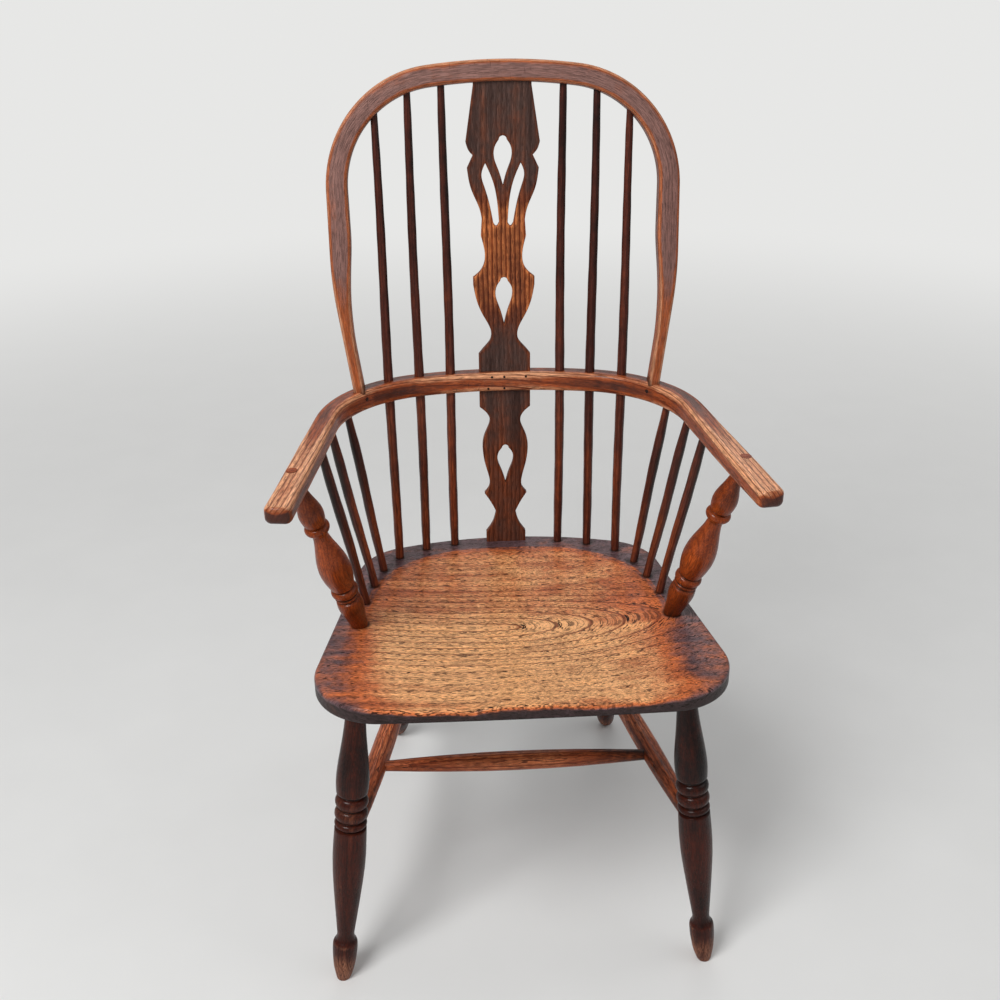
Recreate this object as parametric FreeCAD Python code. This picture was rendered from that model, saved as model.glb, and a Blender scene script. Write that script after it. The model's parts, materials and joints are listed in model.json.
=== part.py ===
import FreeCAD, Part
import math
import os

# A high-back windsor armchair in elm and beech, every piece a separate solid in its own file.
# Millimetres. +Z is up, the chair faces -Y, and left and right are the sitter's, so left is +X.
# The pieces are drawn with Y = 0 on the line where the rear edge of the arm supports meets the seat,
# and the finished chair is then slid along Y to put the origin on the floor under its middle.

V = FreeCAD.Vector
UP = V(0, 0, 1)

# Seat: a saddled board that falls a little to the back
seat_height = 438.0
seat_fall = 1.8
seat_thickness = 38.0
seat_front_y = -191.0
seat_back_y = 217.0
seat_front_half_width = 250.0
seat_side_angle = 9.0
seat_front_bulge = 5.0
seat_back_radius = 480.0
seat_front_corner_radius = 72.0
seat_back_corner_radius = 76.0
seat_edge_chamfer = 3.5
seat_bevel_height = 19.0
seat_bevel_width = 34.0

# Saddle: the hollow worked into the top of the seat
saddle_depth = 12.0
saddle_half_width = 190.0
saddle_middle_y = -20.0
saddle_back_reach = 202.0
saddle_front_reach = 275.0
saddle_squareness = 2.6
pommel_height = 6.5
pommel_half_width = 62.0
pommel_start_y = -40.0

# Arm bow: a level horseshoe, one bent rail
arm_height = 680.0
arm_thickness = 25.5
arm_end_thickness = 20.0
arm_width = 25.0
arm_end_width = 29.0
arm_back_y = 210.0
arm_back_radius = 490.0
arm_back_half_angle = 13.0
arm_corner_radius = 144.0
arm_side_splay = 7.0
arm_front_y = -169.0
arm_edge_round = 6.0
arm_end_round = 9.0

# Top bow: a bent hoop that stands on the arm bow and leans back
chair_height = 1060.0
bow_lean = 10.2
bow_half_width = 211.5
bow_thickness = 23.0
bow_crown_width = 24.5
bow_side_width = 26.5
bow_foot_width = 14.5
bow_crown_radius = 700.0
bow_shoulder_radius = 140.0
bow_foot_slope = 8.3
bow_narrow_share = 0.13
bow_bend_share = 0.26
bow_upright_share = 0.43
bow_full_share = 0.49
bow_edge_round = 4.5
bow_tenon_radius = 5.6
bow_tenon_stop = 0.3

# Sticks
stick_tenon_radius = 5.0
stick_seat_radius = 5.6
stick_arm_radius = 6.4
stick_top_radius = 4.4
stick_tip_radius = 4.0
stick_seat_depth = 18.0
stick_bow_depth = 13.0
long_stick_arm_x = (71.5, 111.0, 148.5)
long_stick_bow_x = (71.8, 111.7, 151.0)
short_stick_arm_y = (133.0, 89.0, 34.0)
short_stick_seat_spots = ((167.0, 128.0), (177.0, 86.0), (186.0, 43.0))
short_stick_seat_radius = 5.3
short_stick_belly_radius = 6.1
short_stick_top_radius = 4.5
short_stick_arm_depth = 14.0
short_stick_belly_share = 0.45
stick_shoulder = 5.0

# Arm supports: turned balusters, tenoned right through the arms
support_seat_x = 191.5
support_seat_y = -9.0
support_arm_y = -74.0
support_seat_depth = 22.0
support_seat_tenon_radius = 8.0
support_arm_tenon_radius = 6.0
support_foot_radius = 10.7
support_low_vase_radius = 15.6
support_neck_radius = 12.6
support_ring_proud = 3.4
support_vase_radius = 18.9
support_waist_radius = 8.7
support_collar_proud = 4.2
support_high_vase_radius = 14.4
wedge_thickness = 2.4
wedge_depth = 17.0

# Legs
front_socket_x = 192.5
front_socket_y = -98.0
front_foot_x = 232.0
front_foot_y = -150.0
rear_socket_x = 114.0
rear_socket_y = 144.0
rear_foot_x = 175.0
rear_foot_y = 343.0
leg_tenon_radius = 11.0
leg_tenon_depth = 24.0
leg_belly_radius = 20.3
leg_ring_radius = 19.8
leg_ring_height = 17.0
leg_ring_foot = 237.0
leg_belly_height = 180.0
leg_ankle_height = 69.0
leg_ankle_radius = 10.8
leg_foot_radius = 15.6
leg_foot_height = 47.0
leg_foot_tip_radius = 9.5
leg_neck_radius = 12.0
leg_groove_depth = 2.7
leg_groove_width = 2.0

# Stretchers
stretcher_front_height = 200.0
stretcher_rear_height = 175.0
stretcher_cross_y = 25.0
side_stretcher_belly_radius = 14.5
side_stretcher_end_radius = 9.5
cross_stretcher_belly_radius = 13.0
cross_stretcher_end_radius = 7.2
stretcher_tenon_radius = 6.4
stretcher_collar = 6.0
side_tenon_stop = 6.0
cross_tenon_stop = 2.0

# Splats
splat_thickness = 10.0
splat_tenon_depth = 9.0
splat_seat_depth = 12.0
splat_bow_depth = 9.0
splat_arm_half_width = 33.2
splat_seat_half_width = 27.0
splat_bow_half_width = 34.3
upper_waist_half_width = 16.8
upper_middle_half_width = 38.5
upper_shoulder_half_width = 44.4
lower_waist_half_width = 13.4
lower_middle_half_width = 30.0

# Pegs and pins
peg_radius = 2.5
peg_length = 18.0
pin_radius = 1.5
pin_length = 15.0
upper_pin_x = (-17.0, -1.0, 27.0)
lower_pin_x = (-22.0, -1.0)

# Clearances
fit_gap = 0.2
end_gap = 0.4
pin_gap = 0.05
through = 1.6
room = 1200.0

# Fineness: turnings and shaved sticks are cut with flats, as many as these around
turned_sides = 14
stick_sides = 8
pin_sides = 6
curve_steps = 6
bend_step = 9.0


def circle(radius, height, sides):
    """Points round a circle about Z, with a corner on +X."""
    turns = [2 * math.pi * i / sides for i in range(sides)]
    return [V(radius * math.cos(a), radius * math.sin(a), height) for a in turns]


def polygon(points):
    return Part.makePolygon(points + points[:1])


def patch(corners):
    """One flat face through four corners, or two where the corners are not in one plane."""
    a, b, c, d = corners
    normal = (c - a).cross(d - b)
    if abs(normal.dot(b - a)) < 1e-6 * normal.Length:
        return [Part.Face(polygon(corners))]
    return [Part.Face(polygon([a, b, c])), Part.Face(polygon([a, c, d]))]


def skin(rings):
    """A solid stretched from ring to ring with flat faces and closed by its first and last ring."""
    faces = [Part.Face(polygon(rings[0])), Part.Face(polygon(rings[-1]))]
    for low, high in zip(rings, rings[1:]):
        for i in range(len(low)):
            faces += patch([low[i - 1], low[i], high[i], high[i - 1]])
    solid = Part.makeSolid(Part.makeShell(faces))
    if solid.Volume < 0:
        solid.reverse()
    return solid


def sides_for(radius):
    if radius < 2 * pin_radius:
        return pin_sides
    return stick_sides if radius < leg_tenon_radius else turned_sides


def bar(start, direction, radius, length):
    """A bar of so many flats, its corners on the radius, from a point along a direction."""
    sides = sides_for(radius)
    solid = skin([circle(radius, 0, sides), circle(radius, length, sides)])
    return moved(solid, FreeCAD.Placement(start, FreeCAD.Rotation(UP, direction)))


def bore(start, direction, radius, length):
    """The cutter for a hole that a bar of that radius fits, its flats on the radius."""
    return bar(start, direction, radius / math.cos(math.pi / sides_for(radius)), length)


def bore_between(start, end, radius, before, after):
    """A bore from one point to another, lengthened by so much before and after them."""
    along = (end - start).normalize()
    return bore(start - along * before, along, radius, (end - start).Length + before + after)


def smooth(points, steps):
    """Points along the smooth curve through some points, as many steps between neighbours."""
    line = Part.BSplineCurve()
    line.interpolate(points)
    return line.toShape().discretize(Number=steps + 1)


def turned(profile, start, end, sides):
    """Spin a profile in so many flats and stand it from start towards end."""
    solid = skin([circle(radius, height, sides) for radius, height in profile.spots])
    return moved(solid, FreeCAD.Placement(start, FreeCAD.Rotation(UP, end - start)))


class Profile:
    """A turning's outline as radius and height, walked from its foot to its head."""

    def __init__(self, radius, height):
        self.spots = [(radius, height)]

    def line(self, radius, height):
        self.spots.append((radius, height))
        return self

    def curve(self, *spots):
        """A smooth run through some spots, evenly sampled with one point more than it has spots."""
        through_spots = [V(radius, 0, height) for radius, height in self.spots[-1:] + list(spots)]
        for point in smooth(through_spots, len(spots) + 1)[1:]:
            self.line(point.x, point.z)
        return self

    def bead(self, radius, height, proud):
        """A rounded ring from here to the next groove, standing out by proud, as a half wave."""
        from_radius, from_height = self.spots[-1]
        for share in (0.25, 0.75, 1.0):
            base = from_radius + (radius - from_radius) * share
            wave = proud * math.sin(math.pi * share) ** 0.6 if share < 1 else 0.0
            self.line(base + wave, from_height + (height - from_height) * share)
        return self


def mirror(shape):
    """The same piece on the other side of the chair."""
    return shape.mirror(V(0, 0, 0), V(1, 0, 0))


def flip(point):
    return V(-point.x, point.y, point.z)


def moved(shape, placement):
    """Carry a shape, drawn about the origin, to where a placement stands."""
    shape.Placement = placement.multiply(shape.Placement)
    return shape


# Seat

seat_slope = math.tan(math.radians(seat_fall))


def seat_top_z(y):
    """Height of the seat's rim at a depth y."""
    return seat_height - seat_slope * y


def on_seat(x, y):
    return V(x, y, seat_top_z(y))


def under_seat(x, y):
    return V(x, y, seat_top_z(y) - seat_thickness / math.cos(math.radians(seat_fall)))


def seat_placement():
    return FreeCAD.Placement(V(0, 0, seat_height), FreeCAD.Rotation(V(1, 0, 0), -seat_fall))


def seat_side_x(y):
    """Half width of the seat's straight side before its corners are rounded."""
    return seat_front_half_width - (y - seat_front_y) * math.tan(math.radians(seat_side_angle))


def seat_back_corner():
    """Where the straight side meets the curve of the back, found by halving."""
    low, high = 0.0, seat_back_y
    centre = seat_back_y - seat_back_radius
    for _ in range(60):
        y = (low + high) / 2
        if math.hypot(seat_side_x(y), y - centre) < seat_back_radius:
            low = y
        else:
            high = y
    return V(seat_side_x(low), low, 0)


def saddle_drop(x, y):
    """Depth of the saddle below the rim: a bowl on a squarish oval, less the pommel at the front."""
    reach = saddle_back_reach if y > saddle_middle_y else saddle_front_reach
    across = (abs(x) / saddle_half_width) ** saddle_squareness
    along = (abs(y - saddle_middle_y) / reach) ** saddle_squareness
    bowl = saddle_depth * (1 - (across + along) ** (2 / saddle_squareness))
    forward = max(0.0, (pommel_start_y - y) / (pommel_start_y - seat_front_y))
    pommel = pommel_height * math.exp(-(x / pommel_half_width) ** 2) * forward * forward
    return bowl - pommel


def saddle_cutter():
    """Everything above the saddle's surface."""
    half_width = seat_front_half_width + 15.0
    columns = 13
    rows = 13
    grid = []
    for i in range(columns):
        x = -half_width + 2 * half_width * i / (columns - 1)
        line = []
        for j in range(rows):
            y = seat_front_y - 15.0 + (seat_back_y - seat_front_y + 30.0) * j / (rows - 1)
            line.append(V(x, y, -saddle_drop(x, y)))
        grid.append(line)
    surface = Part.BSplineSurface()
    surface.interpolate(grid)
    return surface.toShape().extrude(UP * 60.0)


def seat_blank():
    """The seat's outline in four arcs, thick board, rounded corners, bevelled underside."""
    front = V(seat_front_half_width, seat_front_y + seat_front_bulge, 0)
    back = seat_back_corner()
    edges = [
        Part.Arc(flip(front), V(0, seat_front_y, 0), front).toShape(),
        Part.makeLine(front, back),
        Part.Arc(back, V(0, seat_back_y, 0), flip(back)).toShape(),
        Part.makeLine(flip(back), flip(front)),
    ]
    board = Part.Face(Part.Wire(edges)).extrude(V(0, 0, -seat_thickness))
    upright = [e for e in board.Edges if abs(e.tangentAt(e.FirstParameter).z) > 0.99]
    board = board.makeFillet(seat_front_corner_radius, [e for e in upright if e.CenterOfMass.y < 0])
    upright = [e for e in board.Edges if abs(e.tangentAt(e.FirstParameter).z) > 0.99]
    corners = [e for e in upright if abs(e.CenterOfMass.x - math.copysign(back.x, e.CenterOfMass.x)) < 1
               and abs(e.CenterOfMass.y - back.y) < 1]
    board = board.makeFillet(seat_back_corner_radius, corners)
    under = [e for e in board.Edges if e.BoundBox.ZMax < -seat_thickness + 0.01]
    board = board.makeChamfer(seat_bevel_height, seat_bevel_width, under)
    top = [e for e in board.Edges if e.BoundBox.ZMin > -0.01]
    return board.makeChamfer(seat_edge_chamfer, top)


# Arm bow

def heading(angle):
    """Unit vector that leans by an angle from +Y towards +X."""
    return V(math.sin(angle), math.cos(angle), 0)


arm_turn_start = math.radians(arm_back_half_angle)
arm_turn_end = math.radians(90.0 - arm_side_splay)
arm_back_centre = V(0, arm_back_y - arm_back_radius, 0)
arm_turn_point = arm_back_centre + heading(arm_turn_start) * arm_back_radius
arm_corner_centre = arm_turn_point - heading(arm_turn_start) * arm_corner_radius
arm_side_start = arm_corner_centre + heading(arm_turn_end) * arm_corner_radius
arm_side_direction = V(math.cos(arm_turn_end), -math.sin(arm_turn_end), 0)


def arm_back_line_y(x):
    """Y of the arm bow's centre line at a given X, on the back arc or the corner arc."""
    x = abs(x)
    if x < arm_turn_point.x:
        return arm_back_centre.y + math.sqrt(arm_back_radius ** 2 - x ** 2)
    return arm_corner_centre.y + math.sqrt(arm_corner_radius ** 2 - (x - arm_corner_centre.x) ** 2)


def arm_side_line_x(y):
    """X of the arm bow's centre line at a given Y, on the corner arc or the straight side."""
    if y > arm_side_start.y:
        return arm_corner_centre.x + math.sqrt(arm_corner_radius ** 2 - (y - arm_corner_centre.y) ** 2)
    return arm_side_start.x + (arm_side_start.y - y) * arm_side_direction.x / -arm_side_direction.y


arm_taper_length = arm_side_start.y - arm_front_y
arm_taper = arm_thickness - arm_end_thickness
arm_taper_radius = (arm_taper_length ** 2 + arm_taper ** 2) / (2 * arm_taper)


def arm_under_z(y):
    """Height of the arm bow's underside, which rises in one long arc towards the front ends."""
    forward = max(0.0, arm_side_start.y - y)
    return arm_height - arm_thickness + arm_taper_radius - math.sqrt(arm_taper_radius ** 2 - forward ** 2)


def rounded_section(width, height, corner):
    """Points round a rectangle with its corners taken off, as across and up from its middle."""
    x = width / 2
    y = height / 2
    corner = min(corner, 0.9 * x, 0.9 * y)
    top = [(x, y - corner), (x - corner, y), (corner - x, y), (-x, y - corner)]
    return top + [(-a, -b) for a, b in top]


def arm_ring(point, outward, width):
    """The arm bow's section at a point of its centre line."""
    low = arm_under_z(point.y)
    middle = V(point.x, point.y, (low + arm_height) / 2)
    section = rounded_section(width, arm_height - low, arm_edge_round)
    return [middle + outward * across + UP * up for across, up in section]


def steps_between(start, end, step):
    """Values from start to end, evenly spaced by about a step, without the first."""
    count = max(1, round(abs(end - start) / step))
    return [start + (end - start) * (i + 1) / count for i in range(count)]


def make_arm_bow():
    """The arm bow's section carried from the middle of the back round to the right end, and mirrored."""
    bend = math.radians(bend_step)
    rings = [arm_ring(arm_back_centre + heading(0) * arm_back_radius, heading(0), arm_width)]
    for angle in steps_between(0, arm_turn_start, bend / 2):
        point = arm_back_centre + heading(angle) * arm_back_radius
        rings.append(arm_ring(point, heading(angle), arm_width))
    for angle in steps_between(arm_turn_start, arm_turn_end, bend):
        point = arm_corner_centre + heading(angle) * arm_corner_radius
        rings.append(arm_ring(point, heading(angle), arm_width))
    outward = heading(arm_turn_end)
    length = (arm_side_start.y - arm_front_y) / -arm_side_direction.y
    before_end = length - arm_end_round
    spots = steps_between(0, before_end, before_end / 4)
    spots += [length - arm_end_round * left for left in (0.6, 0.3, 0.1, 0.0)]
    for spot in spots:
        width = arm_width + (arm_end_width - arm_width) * spot / length
        turned_in = max(0.0, spot - before_end)
        width -= 2 * (arm_end_round - math.sqrt(arm_end_round ** 2 - turned_in ** 2))
        rings.append(arm_ring(arm_side_start + arm_side_direction * spot, outward, width))
    other = [[flip(point) for point in ring] for ring in reversed(rings[1:])]
    return skin(other + rings)


# Top bow, drawn flat as X across and Y up the hoop, then leaned back on the arm bow

bow_lean_angle = math.radians(bow_lean)
bow_trim = bow_thickness / 2
bow_rise = (chair_height - arm_height - bow_trim * math.sin(bow_lean_angle)) / math.cos(bow_lean_angle)
bow_shoulder_x = bow_half_width - bow_shoulder_radius
bow_crown_angle = math.asin(bow_shoulder_x / (bow_crown_radius - bow_shoulder_radius))
bow_crown_centre_height = bow_rise - bow_crown_radius
bow_shoulder_drop = (bow_crown_radius - bow_shoulder_radius) * math.cos(bow_crown_angle)
bow_shoulder_height = bow_crown_centre_height + bow_shoulder_drop
bow_upright_height = bow_rise * bow_upright_share
bow_bend_height = bow_rise * bow_bend_share
bow_slope_angle = math.radians(bow_foot_slope)
bow_bend_radius = (bow_upright_height - bow_bend_height) / math.sin(bow_slope_angle)
bow_bend_x = bow_half_width - bow_bend_radius * (1 - math.cos(bow_slope_angle))
bow_foot_outer_x = bow_bend_x - bow_bend_height * math.tan(bow_slope_angle)
bow_foot_x = bow_foot_outer_x - bow_foot_width / 2
bow_foot_y = arm_back_line_y(bow_foot_x)
bow_crown_turn = bow_crown_angle - math.pi / 2


def bow_placement():
    turn = FreeCAD.Rotation(V(1, 0, 0), 90.0 - bow_lean)
    return FreeCAD.Placement(V(0, bow_foot_y, arm_height), turn)


def in_bow_plane(x, rise, forward=0.0):
    """A point of the leaned hoop: across, up along the hoop, and towards the sitter."""
    return bow_placement().multVec(V(x, rise, forward))


def bow_inner_rise(x):
    """How far up the hoop its inner edge lies at a given X, on the crown or on a shoulder."""
    x = abs(x)
    crown = bow_crown_radius - bow_crown_width
    if x < crown * math.sin(bow_crown_angle):
        return bow_crown_centre_height + math.sqrt(crown ** 2 - x ** 2)
    shoulder = bow_shoulder_radius - bow_crown_width
    return bow_shoulder_height + math.sqrt(shoulder ** 2 - (x - bow_shoulder_x) ** 2)


def bow_width(rise):
    """Width of the hoop at a height up it: narrow at the foot, full at the sides, less at the crown."""
    low = bow_rise * bow_narrow_share
    full = bow_rise * bow_full_share
    share = min(1.0, max(0.0, (rise - low) / (full - low)))
    ease = share * share * (3 - 2 * share)
    side = bow_foot_width + (bow_side_width - bow_foot_width) * ease
    upper = min(1.0, max(0.0, (rise - full) / (bow_rise - bow_shoulder_radius / 2 - full)))
    return side + (bow_crown_width - bow_side_width) * upper


def bow_ring(x, rise, angle):
    """The hoop's section where its outer edge passes a point and heads by an angle from upright."""
    width = bow_width(rise)
    inward = V(-math.cos(angle), math.sin(angle), 0)
    middle = V(x, rise, 0) + inward * (width / 2)
    section = rounded_section(width, bow_thickness, bow_edge_round)
    return [middle - inward * across + UP * forward for across, forward in section]


def make_top_bow():
    """The hoop's section carried up from the right foot to the middle of the crown, and mirrored."""
    slope = math.tan(bow_slope_angle)
    bend = math.radians(bend_step)
    rings = []
    for rise in [-bow_trim] + steps_between(0, bow_bend_height, bow_bend_height / 4):
        rings.append(bow_ring(bow_foot_outer_x + rise * slope, rise, bow_slope_angle))
    for angle in steps_between(bow_slope_angle, 0, bow_slope_angle / 4):
        x = bow_half_width - bow_bend_radius * (1 - math.cos(angle))
        rings.append(bow_ring(x, bow_upright_height - bow_bend_radius * math.sin(angle), angle))
    for rise in steps_between(bow_upright_height, bow_shoulder_height, bow_shoulder_radius / 4):
        rings.append(bow_ring(bow_half_width, rise, 0))
    arcs = [(bow_shoulder_x, bow_shoulder_height, bow_shoulder_radius, 0, bow_crown_turn, bend),
            (0, bow_crown_centre_height, bow_crown_radius, bow_crown_turn, -math.pi / 2, bend / 4)]
    for x, rise, radius, start, end, step in arcs:
        for angle in steps_between(start, end, step):
            rings.append(bow_ring(x + radius * math.cos(angle), rise - radius * math.sin(angle), angle))
    other = [[flip(point) for point in ring] for ring in reversed(rings[:-1])]
    hoop = moved(skin(rings + other), bow_placement()).cut(below_arm_top())
    for side in (1, -1):
        hoop = hoop.fuse(bow_tenon(side, 0.0).cut(below_arm_bow(bow_tenon_stop)))
    return hoop.removeSplitter()


def bow_tenon(side, gap):
    """The round tenon at a foot of the hoop, or the hole for it, down through the arm bow."""
    slope = math.tan(bow_slope_angle)
    top = in_bow_plane(side * (bow_foot_x + slope * bow_trim), bow_trim)
    low = in_bow_plane(side * (bow_foot_x - slope * bow_trim), -bow_trim)
    down = (low - top).normalize()
    shape = bore if gap > 0 else bar
    return shape(top, down, bow_tenon_radius + gap, bow_trim + arm_thickness * through)


# Sticks

def long_stick_points(index):
    """Where a long stick enters the seat, crosses the middle of the arm bow and enters the hoop."""
    arm_x = long_stick_arm_x[index]
    arm = V(arm_x, arm_back_line_y(arm_x), arm_height - arm_thickness / 2)
    bow_x = long_stick_bow_x[index]
    bow = in_bow_plane(bow_x, bow_inner_rise(bow_x))
    along = arm - bow
    steps = (seat_top_z(0) - seat_slope * arm.y - arm.z) / (along.z + seat_slope * along.y)
    seat = arm + along * steps
    return seat, arm, bow


def make_long_stick(index):
    seat, arm, bow = long_stick_points(index)
    low = (arm - seat).Length - arm_thickness
    high = (arm - seat).Length + arm_thickness
    top = (bow - seat).Length
    profile = Profile(stick_tenon_radius, -stick_seat_depth)
    profile.line(stick_tenon_radius, 0.0).line(stick_seat_radius, stick_shoulder)
    profile.line(stick_arm_radius, low).line(stick_arm_radius, high)
    profile.line(stick_top_radius, top - 2 * stick_shoulder)
    profile.line(stick_tip_radius, top - end_gap).line(stick_tip_radius, top + stick_bow_depth)
    return turned(profile, seat, bow, stick_sides)


def short_stick_points(index):
    x, y = short_stick_seat_spots[index]
    seat = on_seat(x, y)
    arm_y = short_stick_arm_y[index]
    arm = V(arm_side_line_x(arm_y), arm_y, arm_under_z(arm_y))
    return seat, arm


def make_short_stick(index):
    seat, arm = short_stick_points(index)
    top = (arm - seat).Length
    profile = Profile(stick_tenon_radius, -stick_seat_depth)
    profile.line(stick_tenon_radius, 0.0).line(short_stick_seat_radius, stick_shoulder)
    profile.line(short_stick_belly_radius, top * short_stick_belly_share)
    profile.line(short_stick_top_radius, top - stick_shoulder)
    profile.line(short_stick_top_radius, top + short_stick_arm_depth)
    return turned(profile, seat, arm, stick_sides)


# Arm supports

def support_points():
    seat = on_seat(support_seat_x, support_seat_y)
    arm = V(arm_side_line_x(support_arm_y), support_arm_y, arm_under_z(support_arm_y))
    return seat, arm


def make_support():
    """A baluster: vase foot, ring, long vase, collar, small vase, then a thin tenon."""
    seat, arm = support_points()
    length = (arm - seat).Length
    neck = support_neck_radius
    low = support_low_vase_radius
    vase = support_vase_radius
    waist = support_waist_radius
    high = support_high_vase_radius

    def at(share):
        return share * length

    profile = Profile(support_seat_tenon_radius, -support_seat_depth)
    profile.line(support_seat_tenon_radius, -1.0).line(support_foot_radius, 0.5)
    profile.curve((low * 0.81, at(0.08)), (low, at(0.175)), (low * 0.9, at(0.215)))
    profile.line(neck, at(0.225)).bead(neck, at(0.245), support_ring_proud / 2)
    profile.bead(neck, at(0.30), support_ring_proud)
    profile.line(vase * 0.77, at(0.315))
    profile.curve((vase, at(0.42)), (vase * 0.84, at(0.54)), (waist * 1.1, at(0.66)), (waist, at(0.70)))
    profile.line(waist * 1.26, at(0.705)).bead(waist * 1.26, at(0.752), support_collar_proud)
    profile.line(high * 0.9, at(0.765))
    profile.curve((high, at(0.82)), (high * 0.71, at(0.91)), (support_arm_tenon_radius * 1.05, at(0.985)))
    profile.line(support_arm_tenon_radius, length + 1.0)
    profile.line(support_arm_tenon_radius, length + arm_thickness * through)
    return turned(profile, seat, arm, turned_sides)


def support_top():
    """Where the support's axis comes out on top of the arm."""
    seat, arm = support_points()
    along = arm - seat
    return arm + along * ((arm_height - arm.z) / along.z)


def wedge_frame():
    """A placement at the tenon's top, Z down the tenon and X along the arm."""
    seat, arm = support_points()
    down = (seat - arm).normalize()
    along = arm_side_direction - down * arm_side_direction.dot(down)
    along.normalize()
    return FreeCAD.Placement(support_top(), FreeCAD.Rotation(along, down.cross(along), down, "ZXY"))


def make_wedge(gap):
    """A thin wedge across the arm, driven into the support's tenon, thick end up, or the slot for it."""
    thick = wedge_thickness / 2 + gap
    thin = wedge_thickness / 6 + gap
    half = support_arm_tenon_radius - 0.6 if gap == 0 else 2 * support_arm_tenon_radius
    over = 6.0
    deep = wedge_depth + gap
    side = [V(-thick, -half, -over), V(thick, -half, -over), V(thick, -half, 0), V(thin, -half, deep),
            V(-thin, -half, deep), V(-thick, -half, 0), V(-thick, -half, -over)]
    wedge = Part.Face(Part.makePolygon(side)).extrude(V(0, 2 * half, 0))
    wedge = moved(wedge, wedge_frame())
    return wedge.common(below_arm_top())


def below_arm_top():
    return Part.makeBox(2 * room, 2 * room, 2 * room, V(-room, -room, arm_height - 2 * room))


def below_arm_bow(rise):
    """Everything lower than the arm bow's underside at the back, or than so much above it."""
    return Part.makeBox(2 * room, 2 * room, room, V(-room, -room, arm_height - arm_thickness + rise - room))


# Legs

def leg_points(front):
    if front:
        return V(front_foot_x, front_foot_y, 0), under_seat(front_socket_x, front_socket_y)
    return V(rear_foot_x, rear_foot_y, 0), under_seat(rear_socket_x, rear_socket_y)


def make_leg(front):
    """A turned leg: tapered foot, ankle, long belly, two rings, then a taper up to the seat."""
    foot, seat = leg_points(front)
    length = (seat - foot).Length
    ring = leg_ring_foot
    groove = leg_ring_radius - leg_groove_depth
    profile = Profile(leg_foot_tip_radius * 0.8, -8.0)
    profile.line(leg_foot_tip_radius * 1.13, 4.0)
    profile.curve((leg_foot_radius * 0.9, leg_foot_height * 0.55), (leg_foot_radius, leg_foot_height),
                  (leg_foot_radius * 0.9, leg_foot_height + 11.0))
    profile.line(leg_ankle_radius, leg_ankle_height - 5.0).line(leg_ankle_radius, leg_ankle_height)
    profile.curve((leg_belly_radius * 0.835, (leg_ankle_height + leg_belly_height) / 2 + 6.0),
                  (leg_belly_radius, leg_belly_height), (leg_ring_radius * 0.96, ring - 5.0))
    profile.line(groove, ring - leg_groove_width).line(groove, ring)
    profile.bead(groove, ring + leg_ring_height, leg_groove_depth)
    profile.bead(groove, ring + 2 * leg_ring_height, leg_groove_depth)
    profile.line(groove, ring + 2 * leg_ring_height + leg_groove_width)
    swell = ring + 2 * leg_ring_height + 10.0
    profile.curve((leg_ring_radius * 0.98, swell), (leg_ring_radius * 0.81, swell + (length - swell) * 0.42),
                  (leg_neck_radius, length - 25.0))
    profile.line(leg_neck_radius, length - 0.5).line(leg_tenon_radius, length + 0.5)
    profile.line(leg_tenon_radius, length + leg_tenon_depth)
    leg = turned(profile, foot, seat, turned_sides)
    ground = Part.makeBox(2 * room, 2 * room, room, V(-room, -room, -room))
    return leg.cut(ground)


# Stretchers

def on_leg(front, height):
    """The point of a leg's axis at a height above the floor."""
    foot, seat = leg_points(front)
    return foot + (seat - foot) * (height / seat.z)


def side_stretcher_points():
    return on_leg(True, stretcher_front_height), on_leg(False, stretcher_rear_height)


def shoulder_reach(host_radius, tip):
    """How far from a round piece's axis the shoulder of a bar stands, so that its whole ring beds in."""
    return math.sqrt(host_radius ** 2 - (tip + 1.0) ** 2) - 0.5


def make_stretcher(start, end, host_radius, stop, belly, tip):
    """A bar swelled in the middle between the axes of two round pieces, with a tenon at each end."""
    along = (end - start).normalize()
    reach = shoulder_reach(host_radius, tip)
    length = (end - start).Length - 2 * reach
    tenon = reach - stop
    full = tip + (belly - tip) * 0.6
    profile = Profile(stretcher_tenon_radius, -tenon)
    profile.line(stretcher_tenon_radius, 0.0).line(tip, 0.0).line(tip, stretcher_collar)
    profile.curve((full, length * 0.2), (belly, length * 0.5), (full, length * 0.8),
                  (tip, length - stretcher_collar))
    profile.line(tip, length).line(stretcher_tenon_radius, length)
    profile.line(stretcher_tenon_radius, length + tenon)
    return turned(profile, start + along * reach, end, turned_sides)


def stretcher_socket(start, toward, host_radius, stop, tip):
    """The hole for a bar's tenon and the round recess for its shoulder, cut from a piece's axis."""
    inward = (toward - start).normalize()
    reach = shoulder_reach(host_radius, tip)
    hole = bore(start + inward * (stop - end_gap), inward, stretcher_tenon_radius + fit_gap, host_radius)
    recess = bore(start + inward * (reach - fit_gap), inward, tip + fit_gap, 2 * host_radius)
    return [hole, recess]


def make_side_stretcher():
    front, rear = side_stretcher_points()
    return make_stretcher(front, rear, leg_belly_radius, side_tenon_stop, side_stretcher_belly_radius,
                          side_stretcher_end_radius)


def cross_points():
    """The two ends of the cross stretcher, on the axes of the side stretchers."""
    front, rear = side_stretcher_points()
    share = (stretcher_cross_y - front.y) / (rear.y - front.y)
    left = front + (rear - front) * share
    return left, flip(left)


def make_cross_stretcher():
    left, right = cross_points()
    return make_stretcher(left, right, side_stretcher_belly_radius, cross_tenon_stop,
                          cross_stretcher_belly_radius, cross_stretcher_end_radius)


# Splats, drawn flat as X across and Y up the board, then stood on the line from arm bow to hoop

splat_low = V(0, arm_back_y, arm_height - arm_thickness / 2)
splat_high = in_bow_plane(0, bow_inner_rise(0))
splat_lean = math.atan2(splat_high.y - splat_low.y, splat_high.z - splat_low.z)
splat_seat_y = splat_low.y - math.tan(splat_lean) * (splat_low.z - seat_top_z(splat_low.y))


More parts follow.
